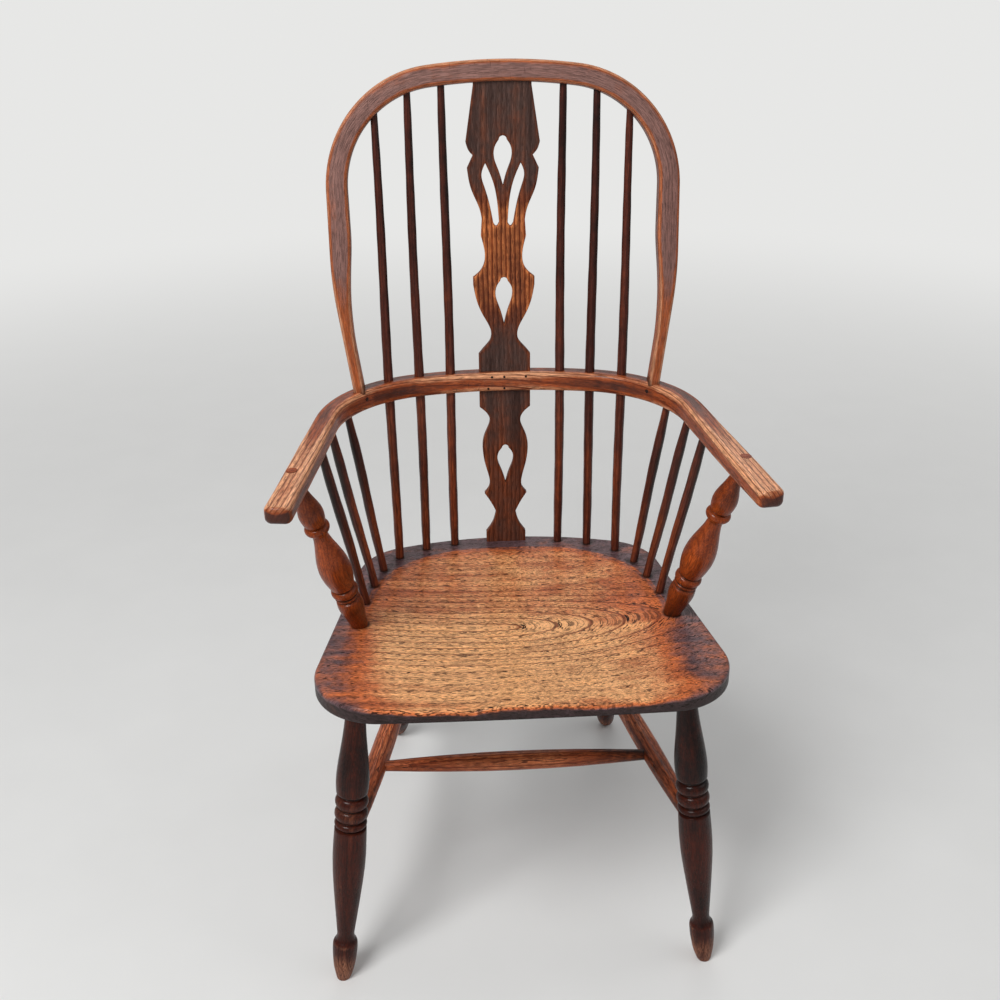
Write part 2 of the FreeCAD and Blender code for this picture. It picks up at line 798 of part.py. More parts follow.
def splat_placement():
    """X across, Y up the board, Z towards the sitter; heights on the board are true heights."""
    turn = FreeCAD.Rotation(V(1, 0, 0), 90.0 - math.degrees(splat_lean))
    return FreeCAD.Placement(V(0, splat_low.y - math.tan(splat_lean) * splat_low.z, 0), turn)


def board_y(z):
    return z / math.cos(splat_lean)


class Outline:
    """Edges of a splat between two heights; a spot is a distance across and a share of the way up."""

    def __init__(self, low_z, high_z):
        self.low_z = low_z
        self.high_z = high_z

    def spot(self, x, share):
        return V(x, board_y(self.low_z + share * (self.high_z - self.low_z)), 0)

    def trace(self, *runs):
        """Points along runs of spots that join end to end: two spots run straight, more run smoothly."""
        points = [self.spot(*runs[0][0])]
        for run in runs:
            spots = [self.spot(x, share) for x, share in run]
            points += spots[1:] if len(run) == 2 else smooth(spots, max(curve_steps, 2 * len(run)))[1:]
        return points

    def board(self, half):
        """A flat board from one half of its outline, traced from the bottom up, and its mirror."""
        return thick(half + [flip(point) for point in reversed(half)], splat_thickness)

    def teardrop(self, head, head_radius, wide, half_width, point):
        """A round head that widens and then runs down to a point; head, wide and point are shares."""
        unit = head_radius / (self.high_z - self.low_z)
        return self.trace([(0, point), (half_width * 0.45, wide * 0.45 + point * 0.55), (half_width, wide),
                           (half_width * 0.78, (head + wide) / 2), (head_radius, head - unit)],
                          [(head_radius, head - unit), (head_radius * 0.7, head - unit * 0.3), (0, head)])


def thick(points, thickness):
    """A flat board of some thickness from the points round it, half of it each side of Z = 0."""
    board = Part.Face(polygon(points)).extrude(UP * thickness)
    board.translate(V(0, 0, -thickness / 2))
    return board


def pierce(board, points):
    return board.cut(thick(points, 2 * splat_thickness))


def pierce_middle(board, half):
    """Pierce a shape that is the same on both sides of the middle, from its right half."""
    return pierce(board, half + [flip(point) for point in reversed(half[1:-1])])


def make_upper_splat():
    """A fiddle-shaped board with two teardrops and a pair of curved slots."""
    outline = Outline(arm_height, splat_high.z)
    height = splat_high.z - arm_height
    foot = splat_arm_half_width
    waist = upper_waist_half_width
    middle = upper_middle_half_width
    shoulder = upper_shoulder_half_width
    half = outline.trace(
        [(foot, -splat_tenon_depth / height), (foot, 0.0639)],
        [(foot, 0.0639), (foot * 0.77, 0.0904), (waist * 1.07, 0.1187), (waist, 0.1470),
         (middle * 0.67, 0.2060), (middle * 0.89, 0.2628), (middle, 0.3208)],
        [(middle, 0.3208), (middle, 0.3482)],
        [(middle, 0.3482), (middle * 0.755, 0.3716), (middle * 0.613, 0.4070), (middle * 0.63, 0.4522),
         (middle * 0.722, 0.4937)],
        [(middle * 0.722, 0.4937), (middle * 0.686, 0.5508)],
        [(middle * 0.686, 0.5508), (shoulder * 0.64, 0.5813), (shoulder * 0.883, 0.6585),
         (shoulder * 0.975, 0.7238)],
        [(shoulder * 0.975, 0.7238), (shoulder * 0.81, 0.7664)],
        [(shoulder * 0.81, 0.7664), (shoulder * 0.923, 0.7828), (shoulder, 0.8099)],
        [(shoulder, 0.8099), (splat_bow_half_width, 0.9897)],
        [(splat_bow_half_width, 0.9897), (splat_bow_half_width, 1 + splat_bow_depth / height)],
    )
    board = outline.board(half)
    board = pierce_middle(board, outline.teardrop(0.8303, 5.0, 0.7715, 11.0, 0.6655))
    board = pierce_middle(board, outline.teardrop(0.3487, 4.8, 0.2925, 10.7, 0.1780))
    slot = outline.trace(
        [(21.4, 0.7404), (25.9, 0.7051), (22.6, 0.6613), (17.0, 0.6068), (12.3, 0.5384)],
        [(12.3, 0.5384), (8.9, 0.5268), (5.2, 0.5398)],
        [(5.2, 0.5398), (7.1, 0.6076), (13.0, 0.6853), (21.4, 0.7404)],
    )[:-1]
    board = pierce(board, slot)
    board = pierce(board, [flip(point) for point in slot])
    return moved(board, splat_placement())


def make_lower_splat():
    """The short board below the arm bow, notched and waisted, with one teardrop."""
    low_z = seat_top_z(splat_seat_y)
    high_z = arm_height - arm_thickness
    outline = Outline(low_z, high_z)
    height = high_z - low_z
    foot = splat_seat_half_width
    waist = lower_waist_half_width
    middle = lower_middle_half_width
    top = splat_arm_half_width
    half = outline.trace(
        [(foot, -splat_seat_depth / height), (foot, 0.0646)],
        [(foot, 0.0646), (foot * 0.67, 0.1274), (waist, 0.2068)],
        [(waist, 0.2068), (middle * 0.68, 0.2710), (middle * 0.95, 0.3302)],
        [(middle * 0.95, 0.3302), (middle * 0.747, 0.3697), (middle * 0.747, 0.4415), (middle * 0.9, 0.5222),
         (middle, 0.6070), (middle * 0.92, 0.7106), (top * 0.62, 0.8241), (top * 0.768, 0.8632),
         (top, 0.8937)],
        [(top, 0.8937), (top, 1 + splat_tenon_depth / height)],
    )
    board = outline.board(half)
    board = pierce_middle(board, outline.teardrop(0.6501, 4.6, 0.5648, 10.6, 0.4011))
    return moved(board, splat_placement())


def splat_mortise(low_z, high_z, half_width):
    """The slot that a splat's end fits, from one height to another along the board."""
    width = 2 * (half_width + fit_gap)
    depth = splat_thickness + 2 * fit_gap
    slot = Part.makeBox(width, board_y(high_z - low_z), depth, V(-width / 2, board_y(low_z), -depth / 2))
    slot.Placement = splat_placement().multiply(slot.Placement)
    return slot


# Pegs and pins

def bow_peg(shape, radius, length):
    """A peg from the inner face of the arm bow, through the left foot tenon of the hoop."""
    middle = V(bow_foot_x, bow_foot_y, 0)
    outward = (middle - arm_corner_centre).normalize()
    start = middle - outward * (arm_width / 2) + UP * (arm_height - 10.0)
    return shape(start, outward, radius, length)


def splat_pin(shape, x, z, radius, length):
    front = arm_back_line_y(x) - arm_width / 2 + 0.05
    return shape(V(x, front, z), V(0, 1, 0), radius, length)


def splat_pin_spots():
    upper = arm_height - splat_tenon_depth * 0.55
    lower = arm_height - arm_thickness + splat_tenon_depth * 0.55
    return [(x, upper) for x in upper_pin_x] + [(x, lower) for x in lower_pin_x]


def cut_all(shape, cutters):
    for cutter in cutters:
        shape = shape.cut(cutter)
    return shape


def both(shape):
    return [shape, mirror(shape)]


def seat_socket(top, along, radius, depth):
    """The hole in the seat for a tenon that reaches so far below the point where it enters."""
    deep = depth + end_gap
    return bore(top - along * deep, along, radius + fit_gap, 2 * deep)


def build():
    """Every piece of the chair, by name."""
    pieces = {}
    saddle = saddle_cutter()
    seat = moved(seat_blank().cut(saddle), seat_placement())
    arm_bow = make_arm_bow()
    top_bow = make_top_bow()
    into = 3 * stick_shoulder
    seat_holes = []
    arm_holes = []
    bow_holes = []

    stick_names = ("inner", "middle", "outer")
    for index, name in enumerate(stick_names):
        at_seat, at_arm, at_bow = long_stick_points(index)
        stick = make_long_stick(index)
        pieces["long_stick_left_" + name] = stick
        pieces["long_stick_right_" + name] = mirror(stick)
        along = (at_bow - at_seat).normalize()
        seat_holes += both(seat_socket(at_seat, along, stick_tenon_radius, stick_seat_depth))
        arm_holes += both(bore_between(at_arm, at_arm + along, stick_arm_radius + fit_gap, arm_thickness,
                                       arm_thickness))
        bow_holes += both(bore(at_bow - along * bow_trim, along, stick_tip_radius + fit_gap,
                               bow_trim + stick_bow_depth + end_gap))

    short_names = ("rear", "middle", "front")
    for index, name in enumerate(short_names):
        at_seat, at_arm = short_stick_points(index)
        stick = make_short_stick(index)
        pieces["short_stick_left_" + name] = stick
        pieces["short_stick_right_" + name] = mirror(stick)
        along = (at_arm - at_seat).normalize()
        seat_holes += both(seat_socket(at_seat, along, stick_tenon_radius, stick_seat_depth))
        arm_holes += both(bore(at_arm - along * into, along, short_stick_top_radius + fit_gap,
                               into + short_stick_arm_depth + end_gap))

    at_seat, at_arm = support_points()
    along = (at_arm - at_seat).normalize()
    support = make_support().common(below_arm_top()).cut(make_wedge(pin_gap))
    pieces["arm_support_left"] = support
    pieces["arm_support_right"] = mirror(support)
    pieces["arm_support_wedges"] = Part.makeCompound(both(make_wedge(0.0)))
    seat_holes += both(seat_socket(at_seat, along, support_seat_tenon_radius, support_seat_depth))
    seat_holes += both(bore(at_seat - along * 1.5, along, support_foot_radius + fit_gap, into))
    arm_holes += both(bore_between(at_arm, support_top(), support_arm_tenon_radius + fit_gap, into, into))

    near, far = side_stretcher_points()
    for front, name in ((True, "front"), (False, "rear")):
        foot, socket = leg_points(front)
        here, there = (near, far) if front else (far, near)
        leg = cut_all(make_leg(front), stretcher_socket(here, there, leg_belly_radius, side_tenon_stop,
                                                        side_stretcher_end_radius))
        pieces["leg_" + name + "_left"] = leg
        pieces["leg_" + name + "_right"] = mirror(leg)
        along = (socket - foot).normalize()
        seat_holes += both(bore(socket - along * into, along, leg_tenon_radius + fit_gap,
                                into + leg_tenon_depth + end_gap))
        seat_holes += both(bore(socket - along * into, along, leg_neck_radius + fit_gap, into + 1.5))

    left, right = cross_points()
    stretcher = cut_all(make_side_stretcher(), stretcher_socket(left, right, side_stretcher_belly_radius,
                                                                cross_tenon_stop, cross_stretcher_end_radius))
    pieces["side_stretcher_left"] = stretcher
    pieces["side_stretcher_right"] = mirror(stretcher)
    pieces["cross_stretcher"] = make_cross_stretcher()

    upper_splat = make_upper_splat()
    lower_splat = make_lower_splat()
    arm_under = arm_height - arm_thickness
    arm_holes.append(splat_mortise(arm_height - splat_tenon_depth - end_gap, arm_height + into,
                                   splat_arm_half_width))
    arm_holes.append(splat_mortise(arm_under - into, arm_under + splat_tenon_depth + end_gap,
                                   splat_arm_half_width))
    seat_z = seat_top_z(splat_seat_y)
    seat_holes.append(splat_mortise(seat_z - splat_seat_depth - end_gap, seat_z + into,
                                    splat_seat_half_width))
    bow_holes.append(splat_mortise(splat_high.z - into, splat_high.z + splat_bow_depth + end_gap,
                                   splat_bow_half_width))

    pins = []
    for x, z in splat_pin_spots():
        pins.append(splat_pin(bar, x, z, pin_radius, pin_length))
        hole = splat_pin(bore, x, z, pin_radius + pin_gap, pin_length + 2 * pin_gap)
        arm_holes.append(hole)
        upper_splat = upper_splat.cut(hole)
        lower_splat = lower_splat.cut(hole)
    pieces["splat_pins"] = Part.makeCompound(pins)
    pieces["upper_splat"] = upper_splat
    pieces["lower_splat"] = lower_splat

    peg = bow_peg(bar, peg_radius, peg_length)
    peg_hole = bow_peg(bore, peg_radius + pin_gap, peg_length + 2 * pin_gap)
    arm_holes += both(peg_hole)
    top_bow = cut_all(top_bow, both(peg_hole))
    pieces["bow_tenon_pegs"] = Part.makeCompound(both(peg))
    arm_holes += [bow_tenon(1, fit_gap), bow_tenon(-1, fit_gap)]

    pieces["seat"] = cut_all(seat, seat_holes)
    pieces["arm_bow"] = cut_all(arm_bow, arm_holes)
    pieces["top_bow"] = cut_all(top_bow, bow_holes)
    return pieces


def main():
    os.makedirs("parts", exist_ok=True)
    pieces = build()
    box = Part.makeCompound(list(pieces.values())).optimalBoundingBox(False, False)
    centre = V(0, -(box.YMin + box.YMax) / 2, 0)
    for name, shape in sorted(pieces.items()):
        shape.translate(centre)
        shape.exportStep("parts/" + name + ".step")
        solids = len(shape.Solids)
        print(name, "solids", solids, "volume", round(shape.Volume), "valid", shape.isValid())
    print("shift", centre.y, "box", box.XLength, box.YLength, box.ZMin, box.ZMax)


main()
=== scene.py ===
"""Finished surfaces of a worn high-back windsor armchair, built round its measured frame, in metres."""

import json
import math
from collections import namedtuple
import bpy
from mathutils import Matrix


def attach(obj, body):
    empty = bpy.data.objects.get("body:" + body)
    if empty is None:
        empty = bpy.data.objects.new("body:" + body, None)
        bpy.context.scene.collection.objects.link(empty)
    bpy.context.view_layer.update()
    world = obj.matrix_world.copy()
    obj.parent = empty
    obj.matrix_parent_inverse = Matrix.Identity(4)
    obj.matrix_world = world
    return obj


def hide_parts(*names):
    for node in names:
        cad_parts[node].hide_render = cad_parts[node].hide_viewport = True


bl_info = {
    "name": "Windsor armchair",
    "version": (1, 0, 0),
    "blender": (4, 5, 0),
    "location": "View3D > Sidebar > Chair",
    "description": "Builds the worn wooden surfaces of a high-back windsor armchair round its frame",
    "category": "Add Mesh",
}

import bpy
import numpy as np
from bpy.props import FloatProperty, FloatVectorProperty, PointerProperty
from mathutils import Matrix, Vector
from mathutils.geometry import delaunay_2d_cdt

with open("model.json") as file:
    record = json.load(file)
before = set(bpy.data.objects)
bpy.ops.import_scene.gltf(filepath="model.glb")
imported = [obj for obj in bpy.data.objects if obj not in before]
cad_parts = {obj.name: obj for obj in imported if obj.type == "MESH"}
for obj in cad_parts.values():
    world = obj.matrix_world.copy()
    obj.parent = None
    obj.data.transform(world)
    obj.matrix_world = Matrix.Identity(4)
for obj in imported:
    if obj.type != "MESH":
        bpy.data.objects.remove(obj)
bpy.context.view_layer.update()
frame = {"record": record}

# The pieces are worked out with Y = 0 near the rear edge of the arm supports' feet, then slid along Y to
# where the frame stands
FRONT_FOOT = (0.232, -0.150)
front_mount = next(mount for mount in frame["record"]["mounts"] if mount["name"] == "foot_front_left")
SLIDE_Y = front_mount["pos_m"][1] - FRONT_FOOT[1]

ACROSS, BACKWARD, UP = np.eye(3)
MIRROR = np.array([-1.0, 1.0, 1.0])
SIDES = (("left", 1.0), ("right", -1.0))


def length(name, words, value):
    return FloatProperty(name=name, description=words, default=value, unit="LENGTH", precision=4)


def angle(name, words, value):
    return FloatProperty(name=name, description=words, default=math.radians(value), subtype="ANGLE")


def share(name, words, value, most=1.0):
    return FloatProperty(name=name, description=words, default=value, min=0.0, max=most)


def power(name, words, value):
    return FloatProperty(name=name, description=words, default=value, unit="POWER")


def colour(name, words, value):
    return FloatVectorProperty(name=name, description=words, default=value, subtype="COLOR", min=0.0, max=1.0)


class SeatSizes(bpy.types.PropertyGroup):
    """Sizes of the seat board"""

    height: length("Height", "Height of the rim above the floor", 0.438)
    fall: angle("Fall", "How far the seat tips to the back", 1.8)
    thickness: length("Thickness", "Thickness of the board", 0.038)
    front: length("Front", "Y of the front edge", -0.191)
    back: length("Back", "Y of the back edge", 0.217)
    half_width: length("Half width", "Half the width at the front", 0.250)
    side_angle: angle("Side angle", "How far each side draws in to the back", 9.0)
    bulge: length("Bulge", "How far the front edge stands forward in the middle", 0.005)
    back_radius: length("Back radius", "Radius of the back edge", 0.480)
    front_corner: length("Front corner", "Radius of the front corners", 0.078)
    back_corner: length("Back corner", "Radius of the back corners", 0.076)
    edge_round: length("Worn edge", "Radius worn on the top edge", 0.0045)
    bevel_height: length("Bevel height", "How far up the side the underside is bevelled", 0.019)
    bevel_width: length("Bevel width", "How far in the bevel runs underneath", 0.034)
    saddle_depth: length("Saddle depth", "Depth of the hollow", 0.012)
    saddle_half_width: length("Saddle half width", "Half the width of the hollow", 0.190)
    saddle_middle: length("Saddle middle", "Y of the hollow's lowest point", -0.020)
    saddle_back: length("Saddle back", "How far the hollow reaches back", 0.202)
    saddle_front: length("Saddle front", "How far the hollow reaches forward", 0.275)
    pommel_height: length("Pommel height", "Rise left in the middle of the front", 0.0065)


class ArmSizes(bpy.types.PropertyGroup):
    """Sizes of the arm bow"""

    height: length("Height", "Height of the top of the arms", 0.680)
    thickness: length("Thickness", "Thickness round the back", 0.0255)
    end_thickness: length("End thickness", "Thickness at the front ends", 0.020)
    width: length("Width", "Width round the back", 0.025)
    end_width: length("End width", "Width at the front ends", 0.029)
    back: length("Back", "Y of the centre line at the back", 0.210)
    back_radius: length("Back radius", "Radius of the curve across the back", 0.490)
    back_half_angle: angle("Back half angle", "Half the angle of the back curve", 13.0)
    corner_radius: length("Corner radius", "Radius of the bends", 0.144)
    splay: angle("Splay", "How far the arms open to the front", 7.0)
    front: length("Front", "Y of the front ends", -0.169)
    edge_round: length("Edge round", "Radius of the long edges", 0.006)
    end_round: length("End round", "Radius of the ends' corners", 0.009)


class BackSizes(bpy.types.PropertyGroup):
    """Sizes of the top bow and the splats"""

    top: length("Top", "Height of the whole chair", 1.060)
    lean: angle("Lean", "How far the top bow leans back", 10.2)
    half_width: length("Half width", "Half the width over the top bow", 0.2115)
    thickness: length("Thickness", "Thickness of the top bow, front to back", 0.023)
    crown_width: length("Crown width", "Width of the bow's face at the top", 0.0245)
    side_width: length("Side width", "Width of the bow's face at the sides", 0.0265)
    foot_width: length("Foot width", "Width of the bow's face at its feet", 0.0145)
    crown_radius: length("Crown radius", "Radius of the flat crown", 0.700)
    shoulder_radius: length("Shoulder radius", "Radius of the shoulders", 0.140)
    foot_slope: angle("Foot slope", "How far the bow's feet draw in", 8.3)
    edge_round: length("Edge round", "Radius worn on the bow's edges", 0.0045)
    splat_thickness: length("Splat thickness", "Thickness of the pierced boards", 0.010)
    splat_edge: length("Splat edge", "Radius of the pierced boards' edges", 0.0014)


class TurnedSizes(bpy.types.PropertyGroup):
    """Sizes of the turned legs, supports, stretchers and of the sticks"""

    belly: length("Leg belly", "Radius of the legs at the belly", 0.0203)
    ring: length("Leg ring", "Radius of the legs at the rings", 0.0198)
    ankle: length("Ankle", "Radius of the legs at the ankle", 0.0108)
    foot: length("Foot", "Radius of the legs at the foot's shoulder", 0.0156)
    vase: length("Support vase", "Radius of the arm supports at the long vase", 0.0189)
    stretcher: length("Stretcher belly", "Radius of the side stretchers in the middle", 0.0145)
    cross: length("Cross stretcher belly", "Radius of the cross stretcher in the middle", 0.0130)
    stick: length("Stick", "Radius of the long sticks at the arm bow", 0.0064)


class WoodColours(bpy.types.PropertyGroup):
    """Colours of the stained and waxed wood, each from dark finish to worn wood"""

    # Seat, dark is lighter and slate-tinted to paint in the sheen of light on the waxed rim, over a darker
    # finish
    seat_dark: colour("Seat, dark", "Finish left on the seat's rim", (0.150, 0.087, 0.096))
    seat_middle: colour("Seat, middle", "Stained elm", (0.640, 0.165, 0.050))
    # Seat, worn is brightened beyond bare elm to paint in the sheen on the sat-on hollow
    seat_worn: colour("Seat, worn", "Elm where it is sat on", (0.950, 0.482, 0.208))
    arm_dark: colour("Arm, dark", "Finish left on the arms", (0.080, 0.018, 0.009))
    arm_middle: colour("Arm, middle", "Stained wood of the arms", (0.360, 0.075, 0.018))
    # Arm, worn is brightened to paint in the sheen on the arm tops
    arm_worn: colour("Arm, worn", "Wood where hands rub", (0.840, 0.400, 0.210))
    bow_dark: colour("Bow, dark", "Finish left on the top bow", (0.250, 0.132, 0.112))
    bow_middle: colour("Bow, middle", "Stained wood of the bow", (0.400, 0.100, 0.030))
    bow_worn: colour("Bow, worn", "Worn edges of the bow", (0.540, 0.240, 0.130))
    stick_dark: colour("Stick, dark", "Finish left on the sticks", (0.014, 0.006, 0.005))
    stick_middle: colour("Stick, middle", "Stained wood of the sticks", (0.085, 0.020, 0.012))
    stick_worn: colour("Stick, worn", "Rubbed sticks", (0.240, 0.055, 0.020))
    splat_dark: colour("Splat, dark", "Finish left on the splats", (0.085, 0.050, 0.042))
    splat_middle: colour("Splat, middle", "Stained wood of the splats", (0.190, 0.052, 0.022))
    splat_worn: colour("Splat, worn", "Rubbed middle of the splats", (0.720, 0.240, 0.075))
    support_dark: colour("Support, dark", "Finish in the supports' grooves", (0.030, 0.008, 0.003))
    support_middle: colour("Support, middle", "Stained wood of the supports", (0.260, 0.045, 0.007))
    support_worn: colour("Support, worn", "Rubbed supports", (0.620, 0.125, 0.025))
    leg_dark: colour("Leg, dark", "Finish left on the legs", (0.006, 0.003, 0.003))
    leg_middle: colour("Leg, middle", "Stained wood of the legs", (0.064, 0.011, 0.005))
    leg_worn: colour("Leg, worn", "Scuffed feet", (0.280, 0.110, 0.060))
    stretcher_dark: colour("Stretcher, dark", "Finish left on the stretchers", (0.035, 0.010, 0.005))
    stretcher_middle: colour("Stretcher, middle", "Stained wood of the stretchers", (0.450, 0.108, 0.039))
    stretcher_worn: colour("Stretcher, worn", "Rubbed stretchers", (0.830, 0.275, 0.115))


class StageSettings(bpy.types.PropertyGroup):
    """Floor, light and camera"""

    floor: colour("Floor", "Colour of the floor", (0.80, 0.80, 0.79))
    backdrop: colour("Backdrop", "Colour behind the chair", (0.80, 0.80, 0.79))
    sky: share("Sky", "Strength of the light from all round", 0.36, 4.0)
    key: power("Key light", "Power of the large soft light", 62.0)
    fill: power("Fill light", "Power of the second light", 8.0)
    behind: power("Light behind", "Power of the light behind", 11.0)
    camera_x: length("Camera X", "Where the camera stands across", -0.0807)
    camera_y: length("Camera Y", "Where the camera stands along, before the slide", -1.1786)
    camera_z: length("Camera Z", "How high the camera stands", 1.1864)
    pitch: angle("Pitch", "How far the camera looks down", 26.57)
    yaw: angle("Yaw", "How far the camera looks to +X", 3.017)
    roll: angle("Roll", "How far the camera is turned about its own line", -0.554)
    lens: FloatProperty(name="Lens", description="Focal length", default=40.65, subtype="DISTANCE_CAMERA")


class ChairSettings(bpy.types.PropertyGroup):
    """Everything that a user of the chair would change"""

    seat: PointerProperty(type=SeatSizes)
    arm: PointerProperty(type=ArmSizes)
    back: PointerProperty(type=BackSizes)
    turned: PointerProperty(type=TurnedSizes)
    colours: PointerProperty(type=WoodColours)
    stage: PointerProperty(type=StageSettings)


def chair():
    return bpy.context.scene.windsor


# Shapes shared by all pieces

def ease(low, high, value):
    """0 below low, 1 above high, and 3t^2 - 2t^3 between them."""
    t = np.clip((value - low) / (high - low), 0.0, 1.0)
    return t * t * (3.0 - 2.0 * t)


def bell(value, middle, width):
    """1 at the middle, and e to the minus square of distance over width away from it."""
    return np.exp(-((value - middle) / width) ** 2)


def unit(vectors):
    return vectors / np.linalg.norm(vectors, axis=-1, keepdims=True)


def smooth(spots, count):
    """Points on the natural cubic spline through some spots, its parameter the chord length."""
    spots = np.asarray(spots, dtype=float)
    reach = np.concatenate([[0.0], np.cumsum(np.linalg.norm(np.diff(spots, axis=0), axis=1))])
    gap = np.diff(reach)
    inner = np.arange(1, len(spots) - 1)
    matrix = np.eye(len(spots))
    matrix[inner, inner - 1] = gap[:-1]
    matrix[inner, inner] = 2 * (gap[:-1] + gap[1:])
    matrix[inner, inner + 1] = gap[1:]
    slope = np.diff(spots, axis=0) / gap[:, None]
    pull = np.zeros_like(spots)
    pull[inner] = 6 * (slope[1:] - slope[:-1])
    bend = np.linalg.solve(matrix, pull)
    at = np.linspace(0.0, reach[-1], count)
    k = np.clip(np.searchsorted(reach, at, side="right") - 1, 0, len(gap) - 1)
    a = ((reach[k + 1] - at) / gap[k])[:, None]
    b = 1.0 - a
    curve = (a ** 3 - a) * bend[k] + (b ** 3 - b) * bend[k + 1]
    return a * spots[k] + b * spots[k + 1] + curve * (gap[k] ** 2)[:, None] / 6


def evenly(points, count):
    """A run of points spaced evenly by length, by straight runs between the given ones."""
    reach = np.concatenate([[0.0], np.cumsum(np.linalg.norm(np.diff(points, axis=0), axis=1))])
    at = np.linspace(0.0, reach[-1], count)
    return np.stack([np.interp(at, reach, column) for column in points.T], axis=-1)


class Skin:
    """A closed surface with its place in the tree, its wear and its dirt at every point, which also carry
    painted sheen and shade.
    """

    def __init__(self, points, faces, grain, worn, grime_and_shade):
        self.points, self.faces = points, faces
        self.grain, self.worn, self.grime_and_shade = grain, worn, grime_and_shade

    def mirrored(self, along=0.31):
        """The same surface on the other side of the chair, from another length of the tree."""
        points = self.points * MIRROR
        grain = self.grain + np.array([0.004, 0.006, along])
        return Skin(points, self.faces, grain, self.worn, self.grime_and_shade)


def ring_faces(rings, around):
    """Quads of a grid that closes round each ring: spots j and j + 1 of ring i meet those of ring i + 1."""
    i = np.arange(rings - 1)[:, None] * around
    j = np.arange(around)[None, :]
    k = (j + 1) % around
    return np.stack([i + j, i + k, i + around + k, i + around + j], axis=-1).reshape(-1, 4)


def closed_skin(rings, grain, worn, grime_and_shade):
    """A skin over rings of points, with a pole in the middle of each end ring."""
    count, around, _ = rings.shape
    ends = [0, -1]
    points = np.concatenate([rings.reshape(-1, 3), rings[ends].mean(axis=1)])
    tree = np.concatenate([grain.reshape(-1, 3), grain[ends].mean(axis=1)])
    rub = np.concatenate([worn.ravel(), worn[ends].mean(axis=1)])
    dirt_and_shade = np.concatenate([grime_and_shade.ravel(), grime_and_shade[ends].mean(axis=1)])
    j = np.arange(around)
    k = (j + 1) % around
    pole = count * around
    first = np.stack([np.full(around, pole), k, j], axis=-1)
    last = np.stack([np.full(around, pole + 1), pole - around + j, pole - around + k], axis=-1)
    faces = ring_faces(count, around).tolist() + first.tolist() + last.tolist()
    return Skin(points, faces, tree, rub, dirt_and_shade)


def volume(points, faces):
    """Six times the volume inside some faces, each split into a fan of triangles."""
    total = 0.0
    for sides in {len(face) for face in faces}:
        corners = points[np.array([face for face in faces if len(face) == sides])]
        for k in range(1, sides - 1):
            total += np.einsum("ij,ij->", corners[:, 0], np.cross(corners[:, k], corners[:, k + 1]))
    return total


def add_piece(name, skins, slot, node):
    """Put skins into one mesh object with faces outward, that rides on the chair and replaces a node."""
    points, faces, first = [], [], 0
    for skin in skins:
        out = volume(skin.points, skin.faces) > 0
        step = 1 if out else -1
        faces += [[first + spot for spot in face[::step]] for face in skin.faces]
        points.append(skin.points)
        first += len(skin.points)
    mesh = bpy.data.meshes.new(name)
    mesh.from_pydata(np.concatenate(points) + SLIDE_Y * BACKWARD, [], faces)
    # Besides wear and dirt, these values carry painted sheen, highlights and shade
    for key, kind, field in (("grain", "FLOAT_VECTOR", "vector"), ("worn", "FLOAT", "value"),
                             ("grime_and_shade", "FLOAT", "value")):
        values = np.concatenate([getattr(skin, key) for skin in skins]).astype(np.float32)
        mesh.attributes.new(key, kind, "POINT").data.foreach_set(field, values.ravel())
    mesh.shade_smooth()
    mesh.validate()
    mesh.materials.append(wood_material(slot))
    piece = bpy.data.objects.new(name, mesh)
    bpy.context.collection.objects.link(piece)
    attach(piece, "root")
    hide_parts(node)


def add_sided(word, name, skin, sign, slot):
    """Add a piece of one side of the chair from a skin drawn for the left."""
    add_piece(word + "_" + name, [skin if sign > 0 else skin.mirrored()], slot, name)


CORNER_SPOTS = 7
FLAT_SPOTS = 7
CORNER_END_WEAR = 0.6
EDGE_WEAR_REACH = 0.0014


def section(width, height, corner):
    """Rings of rectangles with round corners, from arrays of width, height and corner radius.

    Each corner is a quarter turn round its own centre, and each flat is even steps to the next corner.
    Gives the spots' places across and up, and their wear: 1 in the middle of a corner, less at its ends by
    a sine of twice the turn, and falling off along a flat as e to the minus distance over its reach."""
    turn = np.linspace(0.0, math.pi / 2, CORNER_SPOTS)
    step = np.linspace(0.0, 1.0, FLAT_SPOTS + 2)[1:-1]
    half_x, half_y, r = (np.asarray(v)[:, None] for v in (width / 2, height / 2, corner))
    across, up, worn = [], [], []
    corners = ((1, 1), (-1, 1), (-1, -1), (1, -1))
    corner_worn = CORNER_END_WEAR + (1 - CORNER_END_WEAR) * np.sin(2 * turn)
    for k, (sign_x, sign_y) in enumerate(corners):
        next_x, next_y = corners[(k + 1) % 4]
        a = turn + k * math.pi / 2
        across.append(sign_x * (half_x - r) + r * np.cos(a))
        up.append(sign_y * (half_y - r) + r * np.sin(a))
        worn.append(np.broadcast_to(corner_worn, across[-1].shape))
        from_x, from_y = across[-1][:, -1:], up[-1][:, -1:]
        to_x = next_x * (half_x - r) + r * math.cos(a[-1])
        to_y = next_y * (half_y - r) + r * math.sin(a[-1])
        across.append(from_x + (to_x - from_x) * step)
        up.append(from_y + (to_y - from_y) * step)
        flat = np.abs(to_x - from_x) + np.abs(to_y - from_y)
        worn.append(CORNER_END_WEAR * np.exp(-np.minimum(step, 1 - step) * flat / EDGE_WEAR_REACH))
    return (np.concatenate(part, axis=1) for part in (across, up, worn))


def carried(middle, side, rise, across, up):
    """Rings of a section carried along a line: middle + side x across + rise x up, ring by ring."""
    return middle[:, None] + side[:, None] * across[..., None] + rise[:, None] * up[..., None]


LINE_STEP = 0.012
CRISP_STEP = 0.0004
CURVE_STEP = 0.002
BEAD_SPOTS = 16


